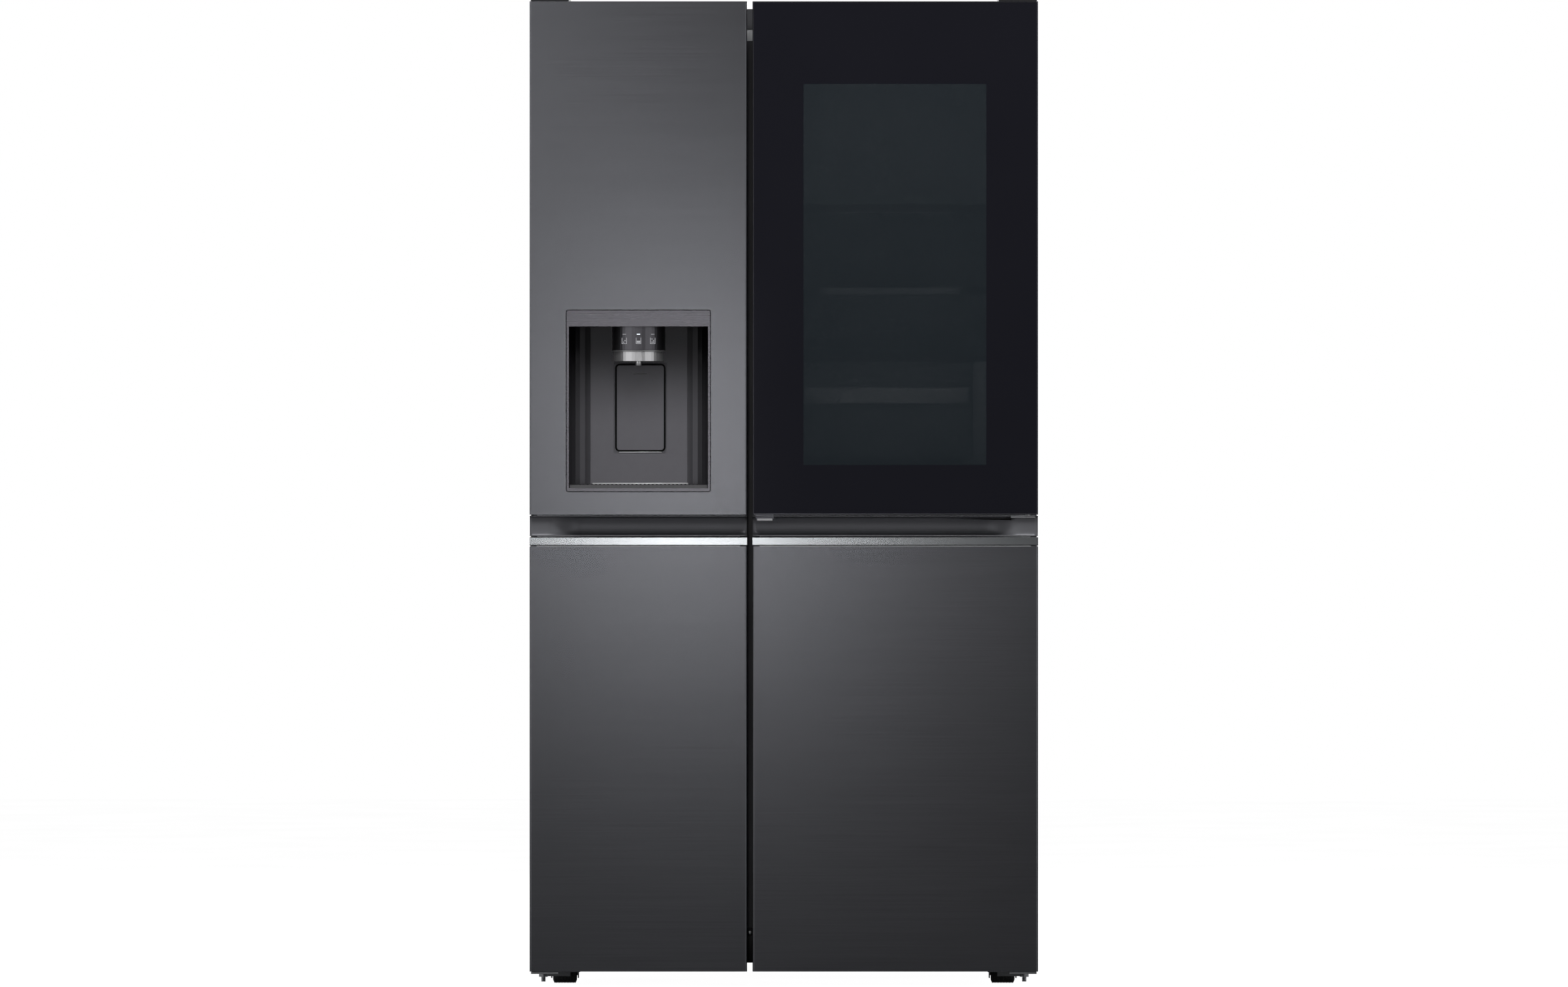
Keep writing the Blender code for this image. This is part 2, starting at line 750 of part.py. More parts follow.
def freezer_door():
    x = (-HALF_WIDTH, FREEZER_EDGE)
    upper = skin("freezer_upper_skin", x, (POCKET_TOP, DOOR_TOP), False)
    opening = box("dispenser_opening", DISPENSER_X, (FRONT - 0.01, SKIN_BACK + 0.01), DISPENSER_Z)
    round_edges(opening, 0.004, "y")
    cut(upper, opening, pin_hole(-1, (1.75, 1.78), "skin_pin_hole_left"))
    lower = skin("freezer_lower_skin", x, (DOOR_BOTTOM, LOWER_TOP), True)
    cut(lower, pin_hole(-1, (0.01, 0.04), "lower_skin_pin_hole_left"))

    core = door_core("freezer_door_liner", x, (DOOR_BOTTOM, DOOR_TOP), "white_plastic")
    for index, rib_x in enumerate(((-0.392, -0.380), (-0.140, -0.128))):
        join(core, box(f"freezer_rib_{index}", rib_x, (DOOR_BACK - 0.005, -0.200), (0.440, 1.690)))
    cut(
        core,
        handle_room("freezer_handle_room", x),
        box(
            "dispenser_room",
            grown(DISPENSER_X, 0.0003),
            (FRONT - 0.01, -0.2715),
            grown(DISPENSER_Z, 0.0003),
        ),
        box("chute_room", (-0.286, -0.236), (-0.346, DOOR_BACK + 0.01), (1.200, 1.290)),
        pin_hole(-1, (1.75, 1.78), "core_pin_hole_left"),
        pin_hole(-1, (0.01, 0.045), "lower_core_pin_hole_left"),
    )
    bucket = tub(
        "ice_bucket",
        (-0.3785, -0.1415),
        (DOOR_BACK + GAP, -0.170),
        (1.215, 1.600),
        0.0025,
        "clear_plastic",
    )
    cut(
        bucket,
        box("ice_mouth", (-0.284, -0.238), (DOOR_BACK - 0.01, DOOR_BACK + 0.01), (1.2175, 1.280)),
    )
    auger_y, auger_z = -0.217, 1.262
    auger = cylinder(
        "ice_auger",
        0.006,
        (-0.372, auger_y, auger_z),
        (-0.148, auger_y, auger_z),
        "white_plastic",
        12,
    )
    for index in range(6):
        blade = box(f"auger_blade_{index}", (-0.0125, 0.0125), (-0.0025, 0.0025), (-0.038, 0.038))
        blade.location = (-0.352 + 0.0368 * index, auger_y, auger_z)
        blade.rotation_euler = (math.radians(30 * index), 0, 0)
        join(auger, blade)
    low_bin = tub(
        "freezer_bin",
        (-0.3785, -0.1415),
        (DOOR_BACK + GAP, -0.170),
        (0.470, 0.570),
        0.0025,
        "clear_plastic",
    )

    fixed = [
        upper,
        lower,
        core,
        bucket,
        low_bin,
        pocket("freezer_handle_pocket", x, -1, True),
        trim("freezer_handle_trim", x),
        gasket(
            "freezer_gasket",
            (-0.434, -0.0745),
            (DOOR_BACK + GAP, FOAM_FRONT - GAP),
            (0.082, 1.7185),
            0.0165,
            "grey_rubber",
        ),
        *dispenser(),
    ]
    hold("freezer_door_axis", (-HINGE_X, HINGE_Y, 0), fixed)
    hold("ice_auger_axis", (-0.26, auger_y, auger_z), [auger])
    return [*fixed, auger]


def dispenser():
    bezel = box(
        "dispenser_bezel",
        grown(DISPENSER_X, -GAP),
        (FRONT, -0.361),
        grown(DISPENSER_Z, -GAP),
        "grey_plastic",
    )
    round_edges(bezel, 0.004, "y")
    cut(bezel, box("bezel_opening", RECESS_X, (FRONT - 0.01, -0.35), RECESS_Z))

    housing = box(
        "dispenser_housing",
        (-0.389, -0.133),
        (-0.361 + GAP, -0.272),
        (0.888, 1.211),
        "black_plastic",
    )
    recess = box("recess", RECESS_X, (FRONT - 0.01, RECESS_BACK), RECESS_Z)
    round_edges(recess, RECESS_ROUND, "z", "+y", 6)
    cut(
        housing,
        recess,
        box("paddle_room", grown(PADDLE_X, 0.0025), (-0.31, -0.2755), grown(PADDLE_Z, 0.0030)),
        box("chute_top", grown(CHUTE_X, 0.002), grown(CHUTE_Y, 0.002), (1.17, 1.23)),
    )

    behind = box("spout_clip", (-0.4, -0.1), (-0.4, RECESS_BACK - GAP), (1.0, 1.3))
    spout = cylinder(
        "dispenser_spout",
        SPOUT_RADIUS,
        (*SPOUT, 1.1413),
        (*SPOUT, RECESS_Z[1] - GAP),
        "black_plastic",
        48,
    )
    keep_inside(spout, behind)
    cut(spout, box("chute", CHUTE_X, CHUTE_Y, (1.1, 1.2)))
    join(
        spout,
        cylinder("nozzle", 0.005, (SPOUT[0], -0.3515, 1.113), (SPOUT[0], -0.3515, 1.146), sides=16),
    )
    ring = cylinder("dispenser_ring", 0.0453, (*SPOUT, 1.1213), (*SPOUT, 1.1380), "chrome", 48)
    cut(ring, cylinder("ring_bore", 0.0410, (*SPOUT, 1.11), (*SPOUT, 1.15), sides=48))
    keep_inside(ring, box("ring_clip", (-0.4, -0.1), (-0.4, RECESS_BACK - GAP), (1.0, 1.3)))

    tray = box(
        "drip_tray",
        (-0.3845, -0.1375),
        (-0.3605, RECESS_BACK - 0.0015),
        (RECESS_Z[0] + GAP, 0.899),
        "grey_plastic",
    )
    round_edges(tray, RECESS_ROUND - 0.001, "z", "+y", 6)

    paddle = box(
        "dispenser_paddle", PADDLE_X, (RECESS_BACK, RECESS_BACK + 0.006), PADDLE_Z, "black_plastic"
    )
    round_edges(paddle, 0.007, "y")
    flap = box(
        "ice_chute_flap",
        grown(CHUTE_X, -0.002),
        (CHUTE_Y[0] + 0.002, FLAP_AXIS[0] + 0.0015),
        (1.1885, 1.1915),
        "black_rubber",
    )
    hold("dispenser_paddle_axis", (SPOUT[0], *PADDLE_AXIS), [paddle])
    hold("ice_chute_flap_axis", (SPOUT[0], *FLAP_AXIS), [flap])
    return [bezel, housing, spout, ring, tray]


def fridge_door():
    x = (FRIDGE_EDGE, HALF_WIDTH)
    lower = skin("fridge_lower_skin", x, (DOOR_BOTTOM, LOWER_TOP), True)
    cut(lower, pin_hole(1, (0.01, 0.04), "lower_skin_pin_hole_right"))

    core = door_core("fridge_door_liner", x, (DOOR_BOTTOM, DOOR_TOP), "white_plastic")
    knuckle_z = (1.7570, DOOR_TOP - GAP)
    outer_room = box(
        "outer_door_room",
        grown(x, 0.01),
        (FRONT - 0.01, FRAME_FRONT),
        (POCKET_TOP - 0.002, DOOR_TOP + 0.01),
    )
    cut(core, outer_room, handle_room("fridge_handle_room", x))
    cut(
        core,
        box(
            "inner_door_opening",
            (0.005, 0.395),
            (FRAME_FRONT - 0.01, DOOR_BACK + 0.01),
            (0.900, 1.650),
        ),
    )
    for index, rib_x in enumerate(((-0.004, 0.004), (0.396, 0.404))):
        for level, rib_z in enumerate(((0.440, 0.620), (1.140, 1.690))):
            join(
                core, box(f"fridge_rib_{index}_{level}", rib_x, (DOOR_BACK - 0.005, -0.215), rib_z)
            )
    join(
        core,
        cylinder(
            "knuckle", 0.0120, (HINGE_X, HINGE_Y, knuckle_z[0]), (HINGE_X, HINGE_Y, knuckle_z[1])
        ),
        box("knuckle_arm", (0.4180, HINGE_X + 0.003), (HINGE_Y, FRAME_FRONT + 0.004), knuckle_z),
        cylinder(
            "knuckle_pin", 0.0040, (HINGE_X, HINGE_Y, 1.743), (HINGE_X, HINGE_Y, 1.760), sides=16
        ),
    )
    cut(
        core,
        pin_hole(1, (1.7578, 1.78), "core_pin_hole_right"),
        pin_hole(1, (0.01, 0.045), "lower_core_pin_hole_right"),
    )

    grip = pocket("fridge_handle_pocket", x, 1, False)
    cut(grip, box("hinge_plate_room", (0.405, 0.47), (-0.38, -0.30), (0.8395, 0.86)))
    plate = box(
        "outer_door_hinge",
        (0.4077, 0.4520),
        (-0.3605, FRAME_FRONT - GAP),
        (0.8400, 0.8443),
        "zinc_steel",
    )
    join(
        plate,
        cylinder(
            "outer_hinge_pin",
            0.0045,
            (HINGE_X, HINGE_Y, 0.842),
            (HINGE_X, HINGE_Y, 0.857),
            sides=16,
        ),
    )
    fixed = [
        lower,
        core,
        grip,
        plate,
        trim("fridge_handle_trim", x),
        gasket(
            "fridge_gasket",
            (-0.0478, 0.434),
            (DOOR_BACK + GAP, FOAM_FRONT - GAP),
            (0.082, 1.7185),
            0.0165,
            "grey_rubber",
        ),
        tub(
            "fridge_bin_lower",
            (0.0045, 0.3955),
            (DOOR_BACK + GAP, -0.170),
            (0.470, 0.570),
            0.0025,
            "clear_plastic",
        ),
        tub(
            "fridge_bin_upper",
            (0.0055, 0.3945),
            (-0.3150, -0.215),
            (1.165, 1.255),
            0.0025,
            "clear_plastic",
        ),
    ]
    hold("fridge_door_axis", (HINGE_X, HINGE_Y, 0), fixed)
    return fixed


def outer_door():
    x = (FRIDGE_EDGE, HALF_WIDTH)
    z = (POCKET_TOP, DOOR_TOP)
    edge = 0.002
    frame = box("outer_door_frame", x, (FRONT, GLASS_BACK), z, "dark_steel")
    round_edges(frame, CORNER, "z", "-y")
    join(frame, box("latch_case", (-0.0506, -0.0181), (-0.3640, -0.3380), (0.8388, 0.8500)))
    relief_size = 0.020
    relief = box(
        "hinge_side_relief", (-relief_size, relief_size), (-relief_size, relief_size), (0.80, 1.80)
    )
    outward = (relief_size * math.sqrt(2) - HINGE_SIDE_RELIEF) / 2
    relief.location = (HALF_WIDTH + outward, GLASS_BACK + outward, 1.30)
    relief.rotation_euler = (0, 0, math.radians(45))
    cut(
        frame,
        box("glass_room", grown(x, -edge), (FRONT - 0.01, FRONT + GLASS + GAP), grown(z, -edge)),
        box(
            "window_opening",
            grown(WINDOW_X, 0.010),
            (FRONT - 0.01, GLASS_BACK + 0.01),
            grown(WINDOW_Z, 0.010),
        ),
        box("latch_case_hollow", (-0.0490, -0.0197), (-0.3625, -0.3395), (0.8300, 0.8455)),
        box("latch_shaft", (-0.0430, -0.0260), (-0.3570, -0.3450), (0.8400, 0.8660)),
        box("knuckle_room", (0.3980, 0.4700), (-0.3618, GLASS_BACK + 0.01), (1.7560, 1.7900)),
        relief,
        cylinder(
            "upper_pin_room", 0.0046, (HINGE_X, HINGE_Y, 1.740), (HINGE_X, HINGE_Y, 1.760), sides=16
        ),
        cylinder(
            "lower_pin_room", 0.0050, (HINGE_X, HINGE_Y, 0.840), (HINGE_X, HINGE_Y, 0.860), sides=16
        ),
    )
    glass = box(
        "outer_door_glass",
        grown(x, -edge - GAP),
        (FRONT + GAP, FRONT + GLASS),
        grown(z, -edge - GAP),
        "black_glass",
    )
    window = box(
        "outer_door_window",
        grown(WINDOW_X, 0.0097),
        (-0.3260, -0.3220),
        grown(WINDOW_Z, 0.0097),
        "black_glass",
    )
    seal = gasket(
        "outer_door_gasket",
        (-0.040, 0.428),
        (GLASS_BACK + GAP, FRAME_FRONT - GAP),
        (0.870, 1.745),
        0.014,
        "black_rubber",
    )
    latch = box(
        "outer_door_latch", (-0.0480, -0.0207), (-0.3615, -0.3405), (0.8350, 0.8390), "chrome"
    )
    join(latch, box("latch_stem", (-0.0420, -0.0270), (-0.3560, -0.3460), (0.8380, 0.8580)))
    fixed = [frame, glass, window, seal]
    hold("outer_door_axis", (HINGE_X, HINGE_Y, 0), fixed)
    hold("outer_door_latch_axis", (-0.0345, -0.351, 0.8390), [latch])
    return [*fixed, latch]


cabinet()
liners()
top_hinges()
undercarriage()
cooling()
fittings()
freezer_door()
fridge_door()
outer_door()
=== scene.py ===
"""Looks of the side by side refrigerator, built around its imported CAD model.

Metres, +Z up, front towards -Y. Places come from the frame's boxes; sizes that belong to a new
piece only are named here.
"""

import math

import bmesh
import bpy
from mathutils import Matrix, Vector


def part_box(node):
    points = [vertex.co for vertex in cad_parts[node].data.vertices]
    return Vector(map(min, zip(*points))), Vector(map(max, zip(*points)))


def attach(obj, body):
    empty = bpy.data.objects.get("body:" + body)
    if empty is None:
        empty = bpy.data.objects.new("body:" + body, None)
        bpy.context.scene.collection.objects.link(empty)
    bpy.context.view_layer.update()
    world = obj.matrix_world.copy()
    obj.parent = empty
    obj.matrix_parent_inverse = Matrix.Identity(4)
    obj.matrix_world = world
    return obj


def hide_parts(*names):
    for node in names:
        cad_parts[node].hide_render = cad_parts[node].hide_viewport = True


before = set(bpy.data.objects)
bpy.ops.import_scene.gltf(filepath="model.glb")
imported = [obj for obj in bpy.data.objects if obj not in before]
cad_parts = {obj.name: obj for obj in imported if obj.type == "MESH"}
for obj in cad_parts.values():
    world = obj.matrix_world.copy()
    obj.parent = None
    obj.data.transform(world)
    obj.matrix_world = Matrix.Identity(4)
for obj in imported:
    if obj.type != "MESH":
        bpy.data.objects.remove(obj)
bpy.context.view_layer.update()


# ---------------------------------------------------------------- places from the frame
def limits(node):
    """A node's box as three pairs: x, y and z."""
    low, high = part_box(node)
    return [(low[i], high[i]) for i in range(3)]


UPPER = limits("freezer_upper_skin")
FRAME = limits("outer_door_frame")
TRIM = limits("freezer_handle_trim")
POCKET = limits("freezer_handle_pocket")
FRIDGE_POCKET = limits("fridge_handle_pocket")
BEZEL = limits("dispenser_bezel")
HOUSING = limits("dispenser_housing")
SPOUT = limits("dispenser_spout")
RING = limits("dispenser_ring")
PADDLE = limits("dispenser_paddle")
TRAY = limits("drip_tray")
PANE = limits("outer_door_window")
MULLION = limits("mullion_strip")
FRONT = UPPER[1][0]
SPOUT_X = sum(SPOUT[0]) / 2
RECESS_BACK = PADDLE[1][0]
DRUM_RADIUS = (SPOUT[0][1] - SPOUT[0][0]) / 2
DRUM_Y = SPOUT[1][0] + DRUM_RADIUS
NOZZLE_Y = -0.3515
WINDOW_MARGIN = 0.0097  # black print inside the pane's edge
WINDOW_X = (PANE[0][0] + WINDOW_MARGIN, PANE[0][1] - WINDOW_MARGIN)
WINDOW_Z = (PANE[2][0] + WINDOW_MARGIN, PANE[2][1] - WINDOW_MARGIN)


# ---------------------------------------------------------------- materials
def blank(name):
    """A new node material and its Principled shader."""
    material = bpy.data.materials.new(name)
    material.use_nodes = True
    tree = material.node_tree
    return material, tree, tree.nodes["Principled BSDF"]


def noise(tree, scale, detail=2.0, roughness=0.5, stretch=(1, 1, 1)):
    """A noise value over object coordinates; stretch multiplies the scale on each axis."""
    coords = tree.nodes.new("ShaderNodeTexCoord")
    mapping = tree.nodes.new("ShaderNodeMapping")
    mapping.inputs["Scale"].default_value = stretch
    texture = tree.nodes.new("ShaderNodeTexNoise")
    texture.inputs["Scale"].default_value = scale
    texture.inputs["Detail"].default_value = detail
    texture.inputs["Roughness"].default_value = roughness
    tree.links.new(coords.outputs["Object"], mapping.inputs["Vector"])
    tree.links.new(mapping.outputs["Vector"], texture.inputs["Vector"])
    return texture.outputs["Fac"]


def spread(tree, value, low, high):
    """Maps the middle of a noise value onto low to high."""
    return ranged(tree, value, 0.3, 0.7, low, high)


def tint(tree, value, dark, light):
    """A colour between dark and light, by a noise value."""
    ramp = tree.nodes.new("ShaderNodeValToRGB")
    ramp.color_ramp.elements[0].position = 0.3
    ramp.color_ramp.elements[1].position = 0.7
    ramp.color_ramp.elements[0].color = (*dark, 1)
    ramp.color_ramp.elements[1].color = (*light, 1)
    tree.links.new(value, ramp.inputs["Fac"])
    return ramp.outputs["Color"]


def bump(tree, shader, height, distance, strength=1.0):
    node = tree.nodes.new("ShaderNodeBump")
    node.inputs["Strength"].default_value = strength
    node.inputs["Distance"].default_value = distance
    tree.links.new(height, node.inputs["Height"])
    tree.links.new(node.outputs["Normal"], shader.inputs["Normal"])


def axes(tree):
    """The object coordinates as separate X, Y and Z sockets."""
    coords = tree.nodes.new("ShaderNodeTexCoord")
    split = tree.nodes.new("ShaderNodeSeparateXYZ")
    tree.links.new(coords.outputs["Object"], split.inputs["Vector"])
    return split.outputs


def ranged(tree, value, start, end, low=0.0, high=1.0, smooth=False):
    """Maps a socket's value from start and end to low and high."""
    node = tree.nodes.new("ShaderNodeMapRange")
    if smooth:
        node.interpolation_type = "SMOOTHSTEP"
    node.inputs["From Min"].default_value = start
    node.inputs["From Max"].default_value = end
    node.inputs["To Min"].default_value = low
    node.inputs["To Max"].default_value = high
    tree.links.new(value, node.inputs["Value"])
    return node.outputs["Result"]


def feed(tree, socket, value):
    """Links a socket to a socket's value, or sets a plain number or colour on it."""
    if isinstance(value, bpy.types.NodeSocket):
        tree.links.new(value, socket)
    else:
        socket.default_value = (*value, 1) if isinstance(value, tuple) else value


def calculated(tree, operation, *values):
    node = tree.nodes.new("ShaderNodeMath")
    node.operation = operation
    for socket, value in zip(node.inputs, values):
        feed(tree, socket, value)
    return node.outputs["Value"]


def blended(tree, factor, first, second, blend="MIX"):
    """A colour between two colours, by a factor."""
    node = tree.nodes.new("ShaderNodeMix")
    node.data_type = "RGBA"
    node.blend_type = blend
    feed(tree, node.inputs["Factor"], factor)
    feed(tree, node.inputs["A"], first)
    feed(tree, node.inputs["B"], second)
    return node.outputs["Result"]


def shade(colour, factor):
    return tuple(channel * factor for channel in colour)


def brushed(name, colour, roughness, contrast=0.11, depth=0.00001, metallic=1.0):
    """Metal with a fine grain along x: long streaks, a fraction of a millimetre high."""
    material, tree, shader = blank(name)
    shader.inputs["Metallic"].default_value = metallic
    fine = noise(tree, 1.0, 3.0, 0.6, (9, 300, 1150))
    broad = noise(tree, 1.0, 2.0, 0.5, (2.5, 60, 330))
    both = tree.nodes.new("ShaderNodeMix")
    both.inputs["Factor"].default_value = 0.45
    tree.links.new(fine, both.inputs["A"])
    tree.links.new(broad, both.inputs["B"])
    streaks = both.outputs["Result"]
    grain = tint(tree, streaks, shade(colour, 1 - contrast), shade(colour, 1 + contrast))
    tree.links.new(grain, shader.inputs["Base Color"])
    tree.links.new(spread(tree, streaks, roughness * 0.96, roughness * 1.04), shader.inputs["Roughness"])
    bump(tree, shader, fine, depth, 0.35)
    return material


def trim_metal_painted_edges(name, colour, roughness):
    """Brushed aluminium with a painted highlight along its top edge and painted shade along its lower edge."""
    material = brushed(name, colour, roughness, 0.03)
    tree = material.node_tree
    shader = tree.nodes["Principled BSDF"]
    grain = shader.inputs["Base Color"].links[0].from_socket
    # Painted highlight and shade: a ramp over the trim's height multiplies the colour, darkest at the lower edge
    # and lightest at the top edge.
    edges = tree.nodes.new("ShaderNodeValToRGB")
    edges.color_ramp.elements[0].color = (0.30, 0.30, 0.31, 1)
    edges.color_ramp.elements[1].color = (1, 1, 1, 1)
    for position, value in ((0.06, 0.32), (0.10, 0.98), (0.90, 0.98), (0.94, 1.0)):
        edges.color_ramp.elements.new(position).color = (value, value, value, 1)
    tree.links.new(ranged(tree, axes(tree)["Z"], *TRIM[2]), edges.inputs["Fac"])
    both = blended(tree, 1.0, grain, edges.outputs["Color"], "MULTIPLY")
    tree.links.new(both, shader.inputs["Base Color"])
    return material


def moulded(name, colour, roughness, grain=900, depth=0.00002, specular=0.5):
    """Moulded plastic or paint: a faint texture, with slow changes of shine."""
    material, tree, shader = blank(name)
    shader.inputs["Specular IOR Level"].default_value = specular
    cloud = noise(tree, 9.0, 3.0)
    texture = noise(tree, grain, 2.0)
    tree.links.new(tint(tree, cloud, shade(colour, 0.985), shade(colour, 1.015)), shader.inputs["Base Color"])
    tree.links.new(spread(tree, cloud, roughness * 0.9, roughness * 1.1), shader.inputs["Roughness"])
    bump(tree, shader, texture, depth, 0.4)
    return material


def metal(name, colour, roughness, grain=300, metallic=1.0):
    """Plain metal, polished or plated, with small differences in shine."""
    material, tree, shader = blank(name)
    shader.inputs["Metallic"].default_value = metallic
    cloud = noise(tree, grain, 3.0)
    tree.links.new(tint(tree, cloud, shade(colour, 0.97), shade(colour, 1.02)), shader.inputs["Base Color"])
    tree.links.new(spread(tree, cloud, roughness * 0.94, roughness * 1.06), shader.inputs["Roughness"])
    return material


def recess_painted_shade(name, colour, roughness):
    """The dispenser recess: satin metallic plastic, with painted shade that darkens it towards its top and its
    sides.
    """
    material, tree, shader = blank(name)
    shader.inputs["Metallic"].default_value = 0.75
    shader.inputs["Roughness"].default_value = roughness
    place = axes(tree)
    top = HOUSING[2][1]
    # Painted shade: the colour falls towards a near-black copy at the recess's top and at its sides.
    height = ranged(tree, place["Z"], top - 0.215, top - 0.045, 1.0, 0.10, smooth=True)
    off_centre = calculated(tree, "SUBTRACT", place["X"], sum(HOUSING[0]) / 2)
    sides = ranged(tree, calculated(tree, "ABSOLUTE", off_centre), 0.082, 0.098, 1.0, 0.66, smooth=True)
    lit = calculated(tree, "MULTIPLY", height, sides)
    full = tint(tree, noise(tree, 60.0, 2.0), shade(colour, 0.985), shade(colour, 1.015))
    tree.links.new(blended(tree, lit, shade(colour, 0.05), full), shader.inputs["Base Color"])
    bump(tree, shader, noise(tree, 1500.0, 1.0), 0.00001, 0.3)
    return material


def clear(name, colour, cover):
    """Thin clear plastic or glass: cover is how much of what is behind it the surface hides."""
    material, tree, shader = blank(name)
    cloud = noise(tree, 14.0, 2.0)
    tree.links.new(tint(tree, cloud, shade(colour, 0.96), colour), shader.inputs["Base Color"])
    shader.inputs["Roughness"].default_value = 0.08
    facing = tree.nodes.new("ShaderNodeLayerWeight")
    facing.inputs["Blend"].default_value = 0.35
    edge = ranged(tree, facing.outputs["Facing"], 0.0, 1.0, cover, min(1.0, cover + 0.45))
    tree.links.new(edge, shader.inputs["Alpha"])
    return material


def within(tree, value, low, high, soft):
    """1 where a coordinate lies between two limits, falling to 0 over a short distance outside."""
    after_low = ranged(tree, value, low - soft, low)
    before_high = ranged(tree, value, high + soft, high)
    return calculated(tree, "MULTIPLY", after_low, before_high)


def inside_frame(tree, x, z, soft):
    """1 inside an upright rectangle of object coordinates, and 0 outside it."""
    place = axes(tree)
    across = within(tree, place["X"], *x, soft)
    upright = within(tree, place["Z"], *z, soft)
    return calculated(tree, "MULTIPLY", across, upright)


def window_glass(name, border_cover, window_cover):
    """Black glass with a tinted window: solid black print around a see-through middle, whose lighter colour is
    partly the glass's own tint and partly painted light from the lit inside.
    """
    material, tree, shader = blank(name)
    cloud = noise(tree, 5.0, 2.0)
    print_colour = tint(tree, cloud, (0.0175, 0.0175, 0.0250), (0.0190, 0.0190, 0.0268))
    # The window's colour: partly the glass's green tint, partly painted light that stands for the lit inside seen
    # through it.
    tint_and_painted_inner_light = tint(tree, cloud, (0.028, 0.037, 0.045), (0.030, 0.039, 0.047))
    shader.inputs["Roughness"].default_value = 0.03
    window = inside_frame(tree, WINDOW_X, WINDOW_Z, 0.0004)
    tree.links.new(blended(tree, window, print_colour, tint_and_painted_inner_light), shader.inputs["Base Color"])
    cover = ranged(tree, window, 0.0, 1.0, border_cover, window_cover)
    tree.links.new(cover, shader.inputs["Alpha"])
    return material


def door_body(name, node, edge=0.0115):
    """An inner door: pale inside, with its wrapped steel sides in the front's dark paint."""
    x, _, z = limits(node)
    material, tree, shader = blank(name)
    cloud = noise(tree, 9.0, 3.0)
    inner = inside_frame(tree, (x[0] + edge, x[1] - edge), (z[0] + edge, z[1] - edge), 0.0003)
    dark = tint(tree, cloud, (0.070, 0.071, 0.077), (0.076, 0.077, 0.083))
    pale = tint(tree, cloud, (0.785, 0.795, 0.815), (0.81, 0.82, 0.84))
    tree.links.new(blended(tree, inner, dark, pale), shader.inputs["Base Color"])
    tree.links.new(spread(tree, cloud, 0.36, 0.44), shader.inputs["Roughness"])
    bump(tree, shader, noise(tree, 700, 2.0), 0.00002, 0.4)
    return material


def glowing(name, colour, strength):
    """A surface that gives off its own light, such as a display or a lamp cover."""
    material, tree, shader = blank(name)
    cloud = noise(tree, 400.0, 1.0)
    tree.links.new(tint(tree, cloud, shade(colour, 0.9), colour), shader.inputs["Base Color"])
    shader.inputs["Emission Color"].default_value = (*colour, 1)
    shader.inputs["Emission Strength"].default_value = strength
    return material


STEEL = brushed("black_steel", (0.205, 0.208, 0.226), 0.26, 0.16)
POCKET_STEEL = brushed("pocket_steel", (0.235, 0.237, 0.256), 0.46, 0.04, 0.00001, 0.6)
FRAME_STEEL = brushed("frame_steel", (0.11, 0.11, 0.125), 0.30)
TRIM_METAL = trim_metal_painted_edges("trim_aluminium", (0.55, 0.57, 0.59), 0.195)
ZINC = metal("zinc_plate", (0.58, 0.59, 0.61), 0.30)
COIL = metal("coil_aluminium", (0.60, 0.56, 0.52), 0.35)
CABINET_PAINT = moulded("cabinet_paint", (0.085, 0.086, 0.093), 0.48, 1400, 0.00005, 0.35)
REAR_SHEET = moulded("rear_sheet", (0.42, 0.43, 0.44), 0.40, 1100, 0.00003)
MULLION_PAINT = moulded("mullion_paint", (0.10, 0.10, 0.11), 0.40)
WHITE = moulded("white_liner", (0.80, 0.81, 0.83), 0.38, 700)
GREY = moulded("grey_plastic", (0.16, 0.16, 0.165), 0.45)
SATIN_BLACK = moulded("satin_black", (0.020, 0.020, 0.023), 0.50, 1200, 0.00004)
BEZEL_GREY = brushed("bezel_grey", (0.190, 0.185, 0.205), 0.27, 0.03)
RECESS_GREY = recess_painted_shade("recess_grey", (0.165, 0.162, 0.178), 0.30)
DRUM_GREY = metal("drum_grey", (0.20, 0.195, 0.215), 0.36, 30)
SATIN_METAL = metal("satin_metal", (0.97, 0.97, 0.98), 0.30, 30, 0.85)
TAB_METAL = metal("tab_metal", (0.90, 0.90, 0.92), 0.36, 60, 0.6)
# Near-black painted shade: a sheet put in gaps and grooves where only shade falls.
PAINTED_SHADE_BLACK = moulded("painted_shade_black", (0.004, 0.004, 0.004), 0.85, 900, 0.00002, 0.05)
RUBBER = moulded("grey_rubber", (0.10, 0.10, 0.105), 0.65, 600, 0.00005)
BLACK_RUBBER = moulded("black_rubber", (0.015, 0.015, 0.016), 0.70, 600, 0.00005)
COMPRESSOR_PAINT = moulded("compressor_paint", (0.012, 0.012, 0.013), 0.22)
CLEAR = clear("clear_plastic", (0.86, 0.90, 0.93), 0.22)
SHELF_GLASS = clear("shelf_glass", (0.62, 0.74, 0.72), 0.30)
BLACK_GLASS = window_glass("black_glass", 1.0, 0.84)
INNER_PANE = clear("inner_pane", (0.10, 0.12, 0.12), 0.25)
LED = glowing("display_light", (0.85, 0.92, 1.0), 1.5)
RIM_GREY = metal("rim_grey", (0.55, 0.55, 0.57), 0.35, 60, 0.8)
LAMP = glowing("lamp_cover", (0.95, 0.97, 1.0), 0.6)
# Pale print with a painted glow: the marks and the unlit key lights give off a faint light of their own.
PRINT_WITH_PAINTED_GLOW = glowing("pale_print_painted_glow", (0.55, 0.55, 0.58), 0.30)


def dress(material, *nodes):
    """Gives CAD nodes a material."""
    for node in nodes:
        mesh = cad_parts[node].data
        mesh.materials.clear()
        mesh.materials.append(material)


